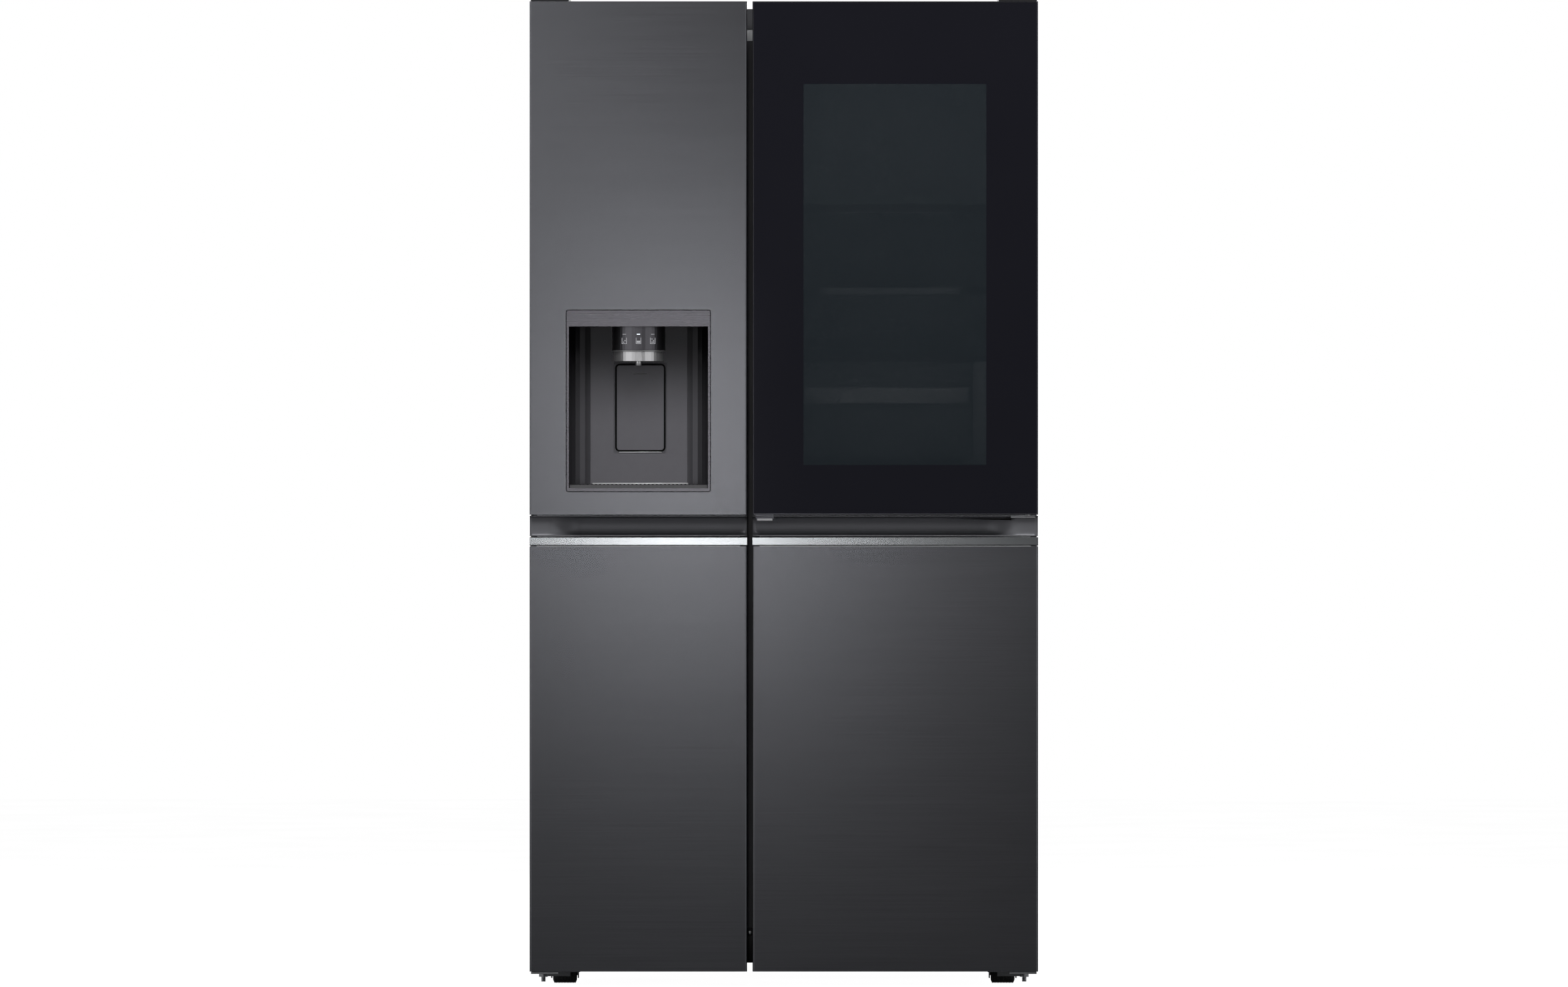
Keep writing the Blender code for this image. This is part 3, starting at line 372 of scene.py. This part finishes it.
dress(STEEL, "freezer_upper_skin", "freezer_lower_skin", "fridge_lower_skin")
dress(FRAME_STEEL, "outer_door_frame")
dress(TRIM_METAL, "freezer_handle_trim", "fridge_handle_trim")
dress(CABINET_PAINT, "cabinet_shell")
dress(REAR_SHEET, "back_panel")
dress(MULLION_PAINT, "mullion_strip")
dress(
    WHITE, "freezer_liner", "fridge_liner", "evaporator_cover", "ice_auger"
)
dress(door_body("freezer_door_body", "freezer_door_liner"), "freezer_door_liner")
dress(door_body("fridge_door_body", "fridge_door_liner"), "fridge_door_liner")
dress(
    ZINC,
    "base_plate",
    *(f"{part}_{side}" for part in ("top_hinge", "bottom_hinge", "levelling_foot") for side in ("left", "right")),
    "outer_door_hinge",
)
dress(GREY, "machine_cover", "condenser_fan", "evaporator_fan", "drip_tray")
dress(GREY, *(f"{end}_roller_{side}" for end in ("front", "rear") for side in ("left", "right")))
dress(SATIN_BLACK, "hinge_cover_left", "hinge_cover_right")
dress(RECESS_GREY, "dispenser_housing", "dispenser_paddle")
dress(DRUM_GREY, "dispenser_spout")
dress(BEZEL_GREY, "dispenser_bezel")
dress(SATIN_METAL, "dispenser_ring")
dress(TAB_METAL, "outer_door_latch")
dress(COMPRESSOR_PAINT, "compressor")
dress(COIL, "evaporator", "condenser")
dress(BLACK_GLASS, "outer_door_glass")
dress(INNER_PANE, "outer_door_window")
dress(CLEAR, "freezer_drawer", "crisper_drawer", "deli_drawer", "freezer_bin", "ice_bucket")
dress(CLEAR, "fridge_bin_lower", "fridge_bin_upper", "wine_rack")
dress(SHELF_GLASS, "freezer_shelf", "fridge_shelf")
dress(RUBBER, "freezer_gasket", "fridge_gasket", "ice_chute_flap")
dress(BLACK_RUBBER, "outer_door_gasket")


# ---------------------------------------------------------------- modelling helpers
def piece(name, mesh, material, body, smooth=True):
    """Links a mesh as a piece that rides on a body."""
    obj = bpy.data.objects.new(name, mesh)
    bpy.context.scene.collection.objects.link(obj)
    mesh.materials.append(material)
    if smooth:
        mesh.shade_smooth()
        mesh.set_sharp_from_angle(angle=math.radians(35))
    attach(obj, body)
    return obj


def made(name, shape):
    mesh = bpy.data.meshes.new(name)
    bmesh.ops.recalc_face_normals(shape, faces=shape.faces)
    shape.to_mesh(mesh)
    shape.free()
    return mesh


def add_block(shape, x, y, z, bevel=0.0, segments=2):
    """Adds a box with rounded edges to a bmesh."""
    new = bmesh.ops.create_cube(shape, size=1)["verts"]
    bmesh.ops.scale(shape, vec=(x[1] - x[0], y[1] - y[0], z[1] - z[0]), verts=new)
    bmesh.ops.translate(shape, vec=(sum(x) / 2, sum(y) / 2, sum(z) / 2), verts=new)
    if bevel:
        edges = {edge for vert in new for edge in vert.link_edges}
        bmesh.ops.bevel(shape, geom=list(edges), offset=bevel, segments=segments, profile=0.5, affect="EDGES")


def block(name, x, y, z, material, body, bevel=0.001, segments=2):
    shape = bmesh.new()
    add_block(shape, x, y, z, bevel, segments)
    return piece(name, made(name, shape), material, body)


def turned_mesh(name, profile, start, axis, steps=32):
    """A closed turned mesh: (radius, distance along the axis) points from start."""
    shape = bmesh.new()
    turn = Vector(axis).to_track_quat("Z", "Y").to_matrix()
    rings = []
    for radius, along in profile:
        ring = []
        for index in range(steps):
            angle = 2 * math.pi * index / steps
            local = Vector((radius * math.cos(angle), radius * math.sin(angle), along))
            ring.append(shape.verts.new(Vector(start) + turn @ local))
        rings.append(ring)
    for first, second in zip(rings, rings[1:]):
        for index in range(steps):
            after = (index + 1) % steps
            shape.faces.new((first[index], first[after], second[after], second[index]))
    shape.faces.new(rings[0][::-1])
    shape.faces.new(rings[-1])
    return made(name, shape)


def rounded(x, z, radius, steps=6):
    """Corner-rounded rectangle as (x, z) points."""
    points = []
    for centre_x, centre_z, start in (
        (x[1] - radius, z[1] - radius, 0),
        (x[0] + radius, z[1] - radius, 90),
        (x[0] + radius, z[0] + radius, 180),
        (x[1] - radius, z[0] + radius, 270),
    ):
        for index in range(steps + 1):
            angle = math.radians(start + 90 * index / steps)
            points.append((centre_x + radius * math.cos(angle), centre_z + radius * math.sin(angle)))
    return points


def surround(name, x, z, radius, width, y, material, body):
    """A flat rounded frame, width wide, between two y planes."""
    outer = rounded(x, z, radius)
    inner = rounded((x[0] + width, x[1] - width), (z[0] + width, z[1] - width), radius - width)
    shape = bmesh.new()
    loops = [[shape.verts.new((px, depth, pz)) for px, pz in line] for line in (outer, inner) for depth in y]
    outer_front, outer_back, inner_front, inner_back = loops
    for index in range(len(outer)):
        after = (index + 1) % len(outer)
        for first, second in (
            (outer_front, inner_front),
            (inner_front, inner_back),
            (inner_back, outer_back),
            (outer_back, outer_front),
        ):
            shape.faces.new((first[index], first[after], second[after], second[index]))
    return piece(name, made(name, shape), material, body)


def screw(name, place, axis, body, radius=0.004):
    """A pan-head screw with a recess in its head, which stands along the axis."""
    height = radius * 0.55
    profile = [(radius, 0), (radius, height * 0.35), (radius * 0.8, height * 0.8), (radius * 0.45, height)]
    profile += [(radius * 0.22, height * 0.98), (radius * 0.20, height * 0.45), (radius * 0.05, height * 0.40)]
    return piece(name, turned_mesh(name, profile, place, axis, 20), ZINC, body)


def smoothstep(value):
    value = min(1.0, max(0.0, value))
    return value * value * (3 - 2 * value)


# ---------------------------------------------------------------- grip pockets
BLIND = 0.062  # shallow stretch of the pocket by the hinge side
BLEND = 0.030


def pocket_piece(name, node, place, hinge_sign, roof, body):
    """A concave grip recess: deep along the door, rising to a shallow pad by the hinge side."""
    (x0, x1), _, (z0, z1) = place
    shallow, deep = 0.0105, 0.043
    columns, rows = 72, 22
    wall = 0.0016
    shape = bmesh.new()
    grid = []
    for column in range(columns + 1):
        x = x0 + (x1 - x0) * column / columns
        from_hinge = (x - x0) if hinge_sign < 0 else (x1 - x)
        depth = shallow + (deep - shallow) * smoothstep((from_hinge - BLIND + BLEND) / (2 * BLEND))
        line = []
        for row in range(rows + 1):
            angle = math.pi * row / rows
            hollow = math.sin(angle) ** 0.20
            top_share = (1 - math.cos(angle)) / 2
            z = z0 + wall + (z1 - z0 - wall - (wall if roof else 0)) * top_share
            y = FRONT + 0.0015 + depth * hollow
            line.append(shape.verts.new((x, y, z)))
        grid.append(line)
    for first, second in zip(grid, grid[1:]):
        for row in range(rows):
            shape.faces.new((first[row], first[row + 1], second[row + 1], second[row]))
    mesh = bpy.data.meshes.new(name)
    shape.to_mesh(mesh)
    shape.free()
    obj = piece(name, mesh, POCKET_STEEL, body)
    solid = obj.modifiers.new("wall", "SOLIDIFY")
    solid.thickness = 0.0012
    solid.offset = -1
    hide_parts(node)
    return obj


pocket_piece("freezer_grip_pocket", "freezer_handle_pocket", POCKET, -1, True, "freezer_door")
pocket_piece("fridge_grip_pocket", "fridge_handle_pocket", FRIDGE_POCKET, 1, True, "fridge_door")


# ---------------------------------------------------------------- dispenser details
def drum_strip(shape, x, z):
    """Adds a thin strip that follows the spout drum's face."""
    proud, sunk, step = 0.0003, 0.0007, 0.0012
    start, end = (math.asin((edge - SPOUT_X) / DRUM_RADIUS) for edge in x)
    steps = max(1, round((x[1] - x[0]) / step))
    rows = []
    for index in range(steps + 1):
        angle = start + (end - start) * index / steps
        row = []
        for far in (DRUM_RADIUS + proud, DRUM_RADIUS - sunk):
            for up in z:
                place = (SPOUT_X + far * math.sin(angle), DRUM_Y - far * math.cos(angle), up)
                row.append(shape.verts.new(place))
        rows.append(row)
    for first, second in zip(rows, rows[1:]):
        for one, two in ((0, 1), (1, 3), (3, 2), (2, 0)):
            shape.faces.new((first[one], first[two], second[two], second[one]))
    for row in (rows[0], rows[-1]):
        shape.faces.new((row[0], row[1], row[3], row[2]))


def dispenser_keys(body):
    """The three key marks on the drum, each a cup under its light; the middle one is lit, and the other lights and
    the marks are pale print with a painted glow.
    """
    spacing = 0.0255
    top = SPOUT[2][1]
    light, light_z = 0.003, (top - 0.0144, top - 0.0132)
    wide, tall, line = 0.0092, 0.0110, 0.0009
    low = top - 0.0310
    dot, dot_across, dot_up = 0.0018, 0.0026, 0.0028
    for index, name in enumerate(("cube", "drop", "crush")):
        x = SPOUT_X + (index - 1) * spacing
        # The side keys' lights are off; they take the pale print, whose faint glow is painted light.
        lit = LED if index == 1 else PRINT_WITH_PAINTED_GLOW
        shape = bmesh.new()
        drum_strip(shape, (x - light, x + light), light_z)
        piece(f"key_light_{name}", made(f"key_light_{name}", shape), lit, body)
        shape = bmesh.new()
        for left in (x - wide / 2, x + wide / 2 - line):
            drum_strip(shape, (left, left + line), (low, low + tall))
        drum_strip(shape, (x - wide / 2 + line, x + wide / 2 - line), (low, low + line))
        if index != 1:
            for count in range(2 + index):
                z = low + 0.0022 + dot_up * (count % 3)
                at = x - 0.0022 + dot_across * (count % 2)
                drum_strip(shape, (at, at + dot), (z, z + dot))
        else:
            drum_strip(shape, (x - 0.0032, x + 0.0032), (low + 0.0018, low + 0.0055))
        piece(f"key_mark_{name}", made(f"key_mark_{name}", shape), PRINT_WITH_PAINTED_GLOW, body)


def spout_metal(body):
    """The thin lip above the bright ring, and the sleeve of the nozzle below it."""
    radius = DRUM_RADIUS
    profile = [(radius - 0.0035, 0), (radius + 0.0004, 0.0004)]
    profile += [(radius + 0.0006, 0.0018), (radius - 0.002, 0.0030)]
    rim = turned_mesh("spout_rim", profile, (SPOUT_X, DRUM_Y, RING[2][1] + 0.0003), (0, 0, 1), 64)
    clip_behind(rim, RECESS_BACK - 0.0004)
    piece("spout_rim", rim, SATIN_METAL, body)
    sleeve = [(0.0030, 0.0002), (0.0052, 0.0002), (0.0055, 0.0008), (0.0055, 0.0078), (0.0030, 0.0078)]
    nozzle = turned_mesh("nozzle_sleeve", sleeve, (SPOUT_X, NOZZLE_Y, SPOUT[2][0]), (0, 0, 1), 32)
    piece("nozzle_sleeve", nozzle, SATIN_METAL, body)


def paddle_marks(body):
    """The slot in the paddle, a flat black frame of painted shade for the groove around it, and the bright edge
    under it.
    """
    slot_x, slot_half = SPOUT_X + 0.0027, 0.012
    slot_z = PADDLE[2][1] - 0.0178
    block("paddle_slot", (slot_x - slot_half, slot_x + slot_half), (RECESS_BACK - 0.0006, RECESS_BACK + 0.001),
          (slot_z - 0.0012, slot_z + 0.0012), GREY, "dispenser_paddle", 0.0005)
    y = (RECESS_BACK - 0.0006, RECESS_BACK + 0.0002)
    x = (PADDLE[0][0] - 0.0002, PADDLE[0][1] + 0.0002)
    z = (PADDLE[2][0] - 0.0002, PADDLE[2][1] + 0.0002)
    # Painted shade: a flat near-black frame stands for the shadowed groove around the paddle.
    surround("paddle_groove_painted_shade", x, z, 0.0080, 0.0030, y, PAINTED_SHADE_BLACK, body)
    corner = 0.007
    block("paddle_rim", (x[0] + corner, x[1] - corner), y, (z[0] - 0.0019, z[0] - 0.0001), SATIN_METAL,
          body, 0.0003)


def tray_and_bezel(body):
    """The bezel's outline, and the drip tray's back edge and its grille."""
    inset = 0.0002
    rim_x = (BEZEL[0][0] + inset, BEZEL[0][1] - inset)
    rim_z = (BEZEL[2][0] + inset, BEZEL[2][1] - inset)
    surround("bezel_rim", rim_x, rim_z, 0.005, 0.0011, (FRONT, FRONT + 0.003), RIM_GREY, body)
    top = TRAY[2][1]
    beside = 0.041  # how far the edge reaches past the paddle on each side
    block("tray_back_edge", (PADDLE[0][0] - beside, PADDLE[0][1] + beside),
          (RECESS_BACK - 0.003, RECESS_BACK - 0.0006), (top + 0.0006, top + 0.0034), SATIN_METAL,
          body, 0.0006)
    ribs = bmesh.new()
    start, end = TRAY[0][0] + 0.014, TRAY[0][1] - 0.014
    depth = (TRAY[1][0] + 0.006, TRAY[1][1] - 0.010)
    count, half = 30, 0.0016
    for index in range(count):
        x = start + (end - start) * (index + 0.5) / count
        add_block(ribs, (x - half, x + half), depth, (top - 0.0002, top + 0.0016), 0.0006, 1)
    piece("tray_grille", made("tray_grille", ribs), SATIN_BLACK, body)


def lock_mark(body):
    """A plain padlock mark at the bezel's upper right, in pale print with a painted glow."""
    x, z = BEZEL[0][1] - 0.0123, BEZEL[2][1] - 0.0155
    y = (FRONT + 0.00002, FRONT + 0.0005)
    shape = bmesh.new()
    add_block(shape, (x - 0.003, x + 0.003), y, (z - 0.004, z + 0.001))
    for left in (x - 0.0022, x + 0.0015):
        add_block(shape, (left, left + 0.0007), y, (z + 0.001, z + 0.004))
    add_block(shape, (x - 0.0022, x + 0.0022), y, (z + 0.004, z + 0.0047))
    piece("lock_mark", made("lock_mark", shape), PRINT_WITH_PAINTED_GLOW, body)


def clip_behind(mesh, y):
    """Cuts a mesh off flat behind a y plane and closes it."""
    shape = bmesh.new()
    shape.from_mesh(mesh)
    geometry = list(shape.verts) + list(shape.edges) + list(shape.faces)
    result = bmesh.ops.bisect_plane(shape, geom=geometry, plane_co=(0, y, 0), plane_no=(0, 1, 0), clear_outer=True)
    edges = [item for item in result["geom_cut"] if isinstance(item, bmesh.types.BMEdge)]
    bmesh.ops.holes_fill(shape, edges=edges)
    bmesh.ops.recalc_face_normals(shape, faces=shape.faces)
    shape.to_mesh(mesh)
    shape.free()


for add in (dispenser_keys, spout_metal, paddle_marks, tray_and_bezel, lock_mark):
    add("freezer_door")


def hinge_gap_painted_shade():
    """A black wedge of painted shade for the dark gap under the glass door, which widens towards its hinge plate.
    """
    plate = limits("outer_door_hinge")
    top = FRAME[2][0] - 0.0001
    points = ((0.290, top), (plate[0][0], top), (plate[0][0], top - 0.0030))
    shape = bmesh.new()
    rows = [[shape.verts.new((x, y, z)) for x, z in points] for y in (FRONT + 0.004, FRONT + 0.020)]
    shape.faces.new(rows[0])
    shape.faces.new(rows[1][::-1])
    for index in range(3):
        after = (index + 1) % 3
        shape.faces.new((rows[0][index], rows[1][index], rows[1][after], rows[0][after]))
    piece("hinge_gap_painted_shade", made("hinge_gap_painted_shade", shape), PAINTED_SHADE_BLACK, "fridge_door", False)


hinge_gap_painted_shade()


# ---------------------------------------------------------------- cabinet front and feet
def cabinet_details():
    """The mullion's lower cover, the bottom hinges' screws, the roller tyres and the foot threads."""
    body = "cabinet"
    x = (MULLION[0][0] + 0.0008, MULLION[0][1] - 0.0008)
    face = MULLION[1][0]
    block("mullion_lower_cover", x, (face - 0.0022, face + 0.0010), (0.0385, 0.101), SATIN_BLACK,
          body, 0.0008)
    screw("mullion_screw", (sum(x) / 2, face - 0.0022, 0.091), (0, -1, 0), body, 0.0042)
    for side, sign in (("left", -1), ("right", 1)):
        screw_y = limits(f"bottom_hinge_{side}")[1][0] + 0.0048
        for index, z in enumerate((0.050, 0.066)):
            for along in (0.400, 0.440):
                name = f"hinge_screw_{side}_{index}_{round(along * 1000)}"
                screw(name, (sign * along, screw_y, z), (0, -1, 0), body, 0.0036)
        for place in ("front", "rear"):
            tread(f"{place}_roller_{side}", f"{place}_roller_{side}")
        foot = limits(f"levelling_foot_{side}")
        thread(f"foot_thread_{side}", foot, f"levelling_foot_{side}")


def tread(node, body):
    """Fine ribs around a roller, inside its outer size."""
    (start, end), y, z = limits(node)
    radius = (z[1] - z[0]) / 2
    bore, chamfer = 0.0040, 0.006
    ribs, margin = 14, 0.0035
    groove, ridge = radius - 0.0011, radius - 0.0001
    shoulder = radius - 0.0012
    profile = [(bore, 0), (radius - chamfer, 0), (shoulder, 0.0020)]
    for index in range(ribs):
        along = margin + (end - start - 2 * margin) * index / (ribs - 1)
        profile += [(groove, along - 0.0009), (ridge, along - 0.0004)]
        profile += [(ridge, along + 0.0004), (groove, along + 0.0009)]
    profile += [(shoulder, end - start - 0.0020), (radius - chamfer, end - start), (bore, end - start)]
    mesh = turned_mesh(f"{node}_tyre", profile, (start, sum(y) / 2, sum(z) / 2), (1, 0, 0), 48)
    obj = piece(f"{node}_tyre", mesh, GREY, body)
    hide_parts(node)


def thread(name, foot, body):
    """Thread rings on a foot's stem."""
    centre = (sum(foot[0]) / 2, sum(foot[1]) / 2)
    radius = 0.0037
    low, high = foot[2][0] + 0.0012, foot[2][0] + 0.0082
    turns = 7
    profile = []
    for index in range(turns):
        along = (high - low) * index / turns
        profile += [(radius - 0.0002, along), (radius + 0.0004, along + 0.0005)]
    mesh = turned_mesh(name, profile, (*centre, low), (0, 0, 1), 20)
    piece(name, mesh, ZINC, body)


cabinet_details()


# ---------------------------------------------------------------- inside the cabinet
FRIDGE_ROOM, FREEZER_ROOM = (-0.0305, 0.4045), (-0.4045, -0.0915)  # what the shelves span
SHELF_FRONT = -0.150


def inside_details():
    """Shelves, air duct, lamps, drawer grips, bin rims and the ice mould's housing."""
    front = limits("deli_drawer")[1][0]
    block("deli_grip_bar", (0.036, 0.3335), (front - 0.0003, front + 0.0105), (1.046, 1.075), WHITE,
          "deli_drawer", 0.003, 3)
    for node in ("fridge_shelf", "freezer_shelf"):
        x, depth, z = limits(node)
        shelf_trim(node, (x[0] + 0.001, x[1] - 0.001), depth, z[0])
    for name, x, back, heights in (
        ("fridge", FRIDGE_ROOM, 0.278, (0.330, 0.560, 0.760, 1.136)),
        ("freezer", FREEZER_ROOM, 0.238, (0.330, 0.620, 1.200, 1.450)),
    ):
        depth = (SHELF_FRONT, back)
        for index, z in enumerate(heights):
            label = f"{name}_glass_{index + 1}"
            block(label, x, depth, (z, z + 0.005), SHELF_GLASS, "cabinet", 0.0012)
            shelf_trim(label, (x[0] + 0.001, x[1] - 0.001), depth, z)
    for name, x in (("fridge", (0.10, 0.28)), ("freezer", (-0.32, -0.18))):
        block(f"{name}_lamp_cover", x, (-0.06, 0.06), (1.6885, 1.6965), LAMP, "cabinet", 0.003, 3)
    air_duct((0.105, 0.270), (0.345, 1.285))
    for node in ("freezer_drawer", "crisper_drawer"):
        x, y, z = limits(node)
        block(f"{node}_grip", (x[0] + 0.02, x[1] - 0.02), (y[0] - 0.0003, y[0] + 0.0105),
              (z[1] - 0.034, z[1] - 0.008), WHITE, node, 0.003, 3)
    for node, body in (
        ("freezer_bin", "freezer_door"),
        ("fridge_bin_lower", "fridge_door"),
        ("fridge_bin_upper", "fridge_door"),
    ):
        x, y, z = limits(node)
        block(f"{node}_rim", (x[0] + 0.004, x[1] - 0.004), (y[1] - 0.0048, y[1] + 0.0008),
              (z[1] - 0.012, z[1] + 0.0006), TRIM_METAL, body, 0.0012)
    x, y, z = limits("ice_bucket")
    block("ice_mould", (x[0] + 0.02, x[1] - 0.02), (y[0] + 0.004, y[1] - 0.012),
          (z[1] + 0.014, z[1] + 0.058), GREY, "freezer_door", 0.006, 3)


def air_duct(x, z):
    """The raised panel on the fridge's back wall, with its rows of vents."""
    side, rows, pitch, tall = 0.030, 3, 0.012, 0.005
    block("air_duct", x, (0.2790, 0.2858), z, WHITE, "cabinet", 0.003, 3)
    vents = bmesh.new()
    for lowest in (0.440, 0.660, 0.870, 1.240):
        for row in range(rows):
            low = lowest + row * pitch
            add_block(vents, (x[0] + side, x[1] - side), (0.2783, 0.2800), (low, low + tall), 0.0008, 1)
    piece("air_duct_vents", made("air_duct_vents", vents), GREY, "cabinet")


def shelf_trim(name, x, depth, low):
    """A shelf's front bar with its bright line, and the rails under its sides."""
    body, front = "cabinet", depth[0]
    block(f"{name}_front", x, (front, front + 0.012), (low - 0.0135, low - 0.0003), GREY,
          body, 0.002)
    block(f"{name}_line", x, (front - 0.0008, front + 0.002), (low - 0.0150, low - 0.0137), TRIM_METAL,
          body, 0.0004)
    for side, edge in (("left", x[0] + 0.0004), ("right", x[1] - 0.0084)):
        block(f"{name}_rail_{side}", (edge, edge + 0.008), (front + 0.014, depth[1] - 0.01),
              (low - 0.012, low - 0.0004), WHITE, body, 0.002)


def rear_sheet():
    """The rear sheet with its pressed ribs, in place of the plain one."""
    x, y, z = limits("back_panel")
    out, back = y[1] - 0.0001, y[0] + 0.0004
    margin = 0.0005
    ribs, half, slope, depth = 5, 0.012, 0.004, 0.0016
    front = [(x[0] + margin, out)]
    for index in range(ribs):
        middle = x[0] + (x[1] - x[0]) * (index + 1) / (ribs + 1)
        front += [(middle - half - slope, out), (middle - half, out - depth)]
        front += [(middle + half, out - depth), (middle + half + slope, out)]
    front.append((x[1] - margin, out))
    shape = bmesh.new()
    for first, second in zip(front, front[1:]):
        corners = [first, second, (second[0], back), (first[0], back)]
        low = [shape.verts.new((px, py, z[0] + margin)) for px, py in corners]
        high = [shape.verts.new((px, py, z[1] - margin)) for px, py in corners]
        shape.faces.new(low)
        shape.faces.new(high)
        sides = [0, 2]  # the outer and the inner face; the ends close only the first and last strip
        if first == front[0]:
            sides.append(3)
        if second == front[-1]:
            sides.append(1)
        for one in sides:
            two = (one + 1) % 4
            shape.faces.new((low[one], low[two], high[two], high[one]))
    bmesh.ops.remove_doubles(shape, verts=shape.verts, dist=0.00001)
    name = "rear_sheet_pressed"
    obj = piece(name, made(name, shape), REAR_SHEET, "cabinet", False)
    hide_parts("back_panel")
    for row, height in enumerate((z[0] + 0.02, (z[0] + z[1]) / 2, z[1] - 0.02)):
        for side, across in (("left", x[0] + 0.018), ("right", x[1] - 0.018)):
            screw(f"rear_screw_{side}_{row}", (across, out - 0.0014, height), (0, 1, 0), "cabinet", 0.0024)


rear_sheet()
inside_details()


# ---------------------------------------------------------------- lights, floor and camera
LENS, SENSOR = 300.0, 36.0
VIEW_WIDTH = 2.815  # width that the view takes in at the plane of the doors' front
EYE = (0.0003, 0.8835)  # the camera's x and its height
FLOOR_HALF = 14.0


def area_light(name, place, target, size, power, colour=(1, 1, 1)):
    data = bpy.data.lights.new(name, "AREA")
    data.shape = "RECTANGLE"
    data.size, data.size_y = size
    data.energy = power
    data.color = colour
    obj = bpy.data.objects.new(name, data)
    obj.location = place
    obj.rotation_euler = (Vector(target) - Vector(place)).to_track_quat("-Z", "Y").to_euler()
    bpy.context.scene.collection.objects.link(obj)
    return obj


def add_camera(scene):
    data = bpy.data.cameras.new("camera")
    data.lens, data.sensor_width = LENS, SENSOR
    camera = bpy.data.objects.new("camera", data)
    camera.location = (EYE[0], FRONT - VIEW_WIDTH * LENS / SENSOR, EYE[1])
    camera.rotation_euler = (math.pi / 2, 0, 0)
    scene.collection.objects.link(camera)
    scene.camera = camera


def add_lights():
    """Soft boxes around the object, and small lamps inside it."""
    area_light("key", (-0.216, -5.06, 1.00), (-0.1, 0, 0.95), (0.18, 0.63), 4.0)
    area_light("upper_left", (-0.80, -5.06, 1.97), (0, 0, 0.95), (0.48, 0.72), 1.8)
    area_light("top", (0, -0.6, 4.2), (0, 0, 0.5), (3.0, 2.0), 4)
    area_light("left_softbox", (-3.6, -3.7, 1.3), (0, -0.3, 1.1), (4.6, 2.6), 24)
    area_light("right_softbox", (3.6, -3.7, 1.3), (0, -0.3, 1.1), (4.6, 2.6), 20)
    area_light("front_top", (0, -3.4, 4.8), (0, 0, 0.9), (3.0, 1.5), 110)
    area_light("left_side", (-5.0, 1.8, 2.2), (-0.4, 0.2, 0.9), (3.0, 3.0), 150)
    area_light("right_side", (5.0, 1.8, 2.2), (0.4, 0.2, 0.9), (3.0, 3.0), 130)
    area_light("rear", (0, 6.0, 2.6), (0, 0.4, 0.9), (3.5, 2.5), 160)
    area_light("fridge_glow", (0.19, -0.312, 1.28), (0.19, 0.3, 1.28), (0.30, 0.62), 0.9)
    area_light("fridge_lamp", (0.19, 0.05, 1.68), (0.19, 0.05, 0.5), (0.25, 0.2), 0.35)
    area_light("freezer_lamp", (-0.25, 0.05, 1.68), (-0.25, 0.05, 0.5), (0.2, 0.2), 0.35)


def add_world(scene):
    """A white background to the eye, and a dim one to everything else."""
    world = bpy.data.worlds.new("studio")
    scene.world = world
    world.use_nodes = True
    tree = world.node_tree
    plain = tree.nodes["Background"]
    plain.inputs["Color"].default_value = (1, 1, 1, 1)
    plain.inputs["Strength"].default_value = 1.0
    dim = tree.nodes.new("ShaderNodeBackground")
    dim.inputs["Color"].default_value = (0.95, 0.97, 1.0, 1)
    dim.inputs["Strength"].default_value = 0.035
    path = tree.nodes.new("ShaderNodeLightPath")
    mix = tree.nodes.new("ShaderNodeMixShader")
    tree.links.new(path.outputs["Is Camera Ray"], mix.inputs["Fac"])
    tree.links.new(dim.outputs["Background"], mix.inputs[1])
    tree.links.new(plain.outputs["Background"], mix.inputs[2])
    tree.links.new(mix.outputs["Shader"], tree.nodes["World Output"].inputs["Surface"])


def add_floor(scene):
    shape = bmesh.new()
    bmesh.ops.create_grid(shape, x_segments=1, y_segments=1, size=FLOOR_HALF)
    mesh = bpy.data.meshes.new("floor")
    shape.to_mesh(mesh)
    shape.free()
    floor = bpy.data.objects.new("floor", mesh)
    scene.collection.objects.link(floor)
    mesh.materials.append(floor_paint())


def floor_paint():
    """Pale studio floor: bright to the eye, dim in the object's reflections."""
    material, tree, shader = blank("floor_paint")
    cloud = noise(tree, 3.0, 2.0)
    colour = tint(tree, cloud, (0.98, 0.98, 0.98), (1.0, 1.0, 1.0))
    path = tree.nodes.new("ShaderNodeLightPath")
    tree.links.new(tint(tree, cloud, (0.090, 0.090, 0.092), (0.10, 0.10, 0.102)), shader.inputs["Base Color"])
    tree.links.new(colour, shader.inputs["Emission Color"])
    tree.links.new(path.outputs["Is Camera Ray"], shader.inputs["Emission Strength"])
    shader.inputs["Roughness"].default_value = 0.9
    shader.inputs["Specular IOR Level"].default_value = 0.0
    return material


stage = bpy.context.scene
stage.view_settings.view_transform = "Standard"
add_camera(stage)
add_lights()
add_world(stage)
add_floor(stage)
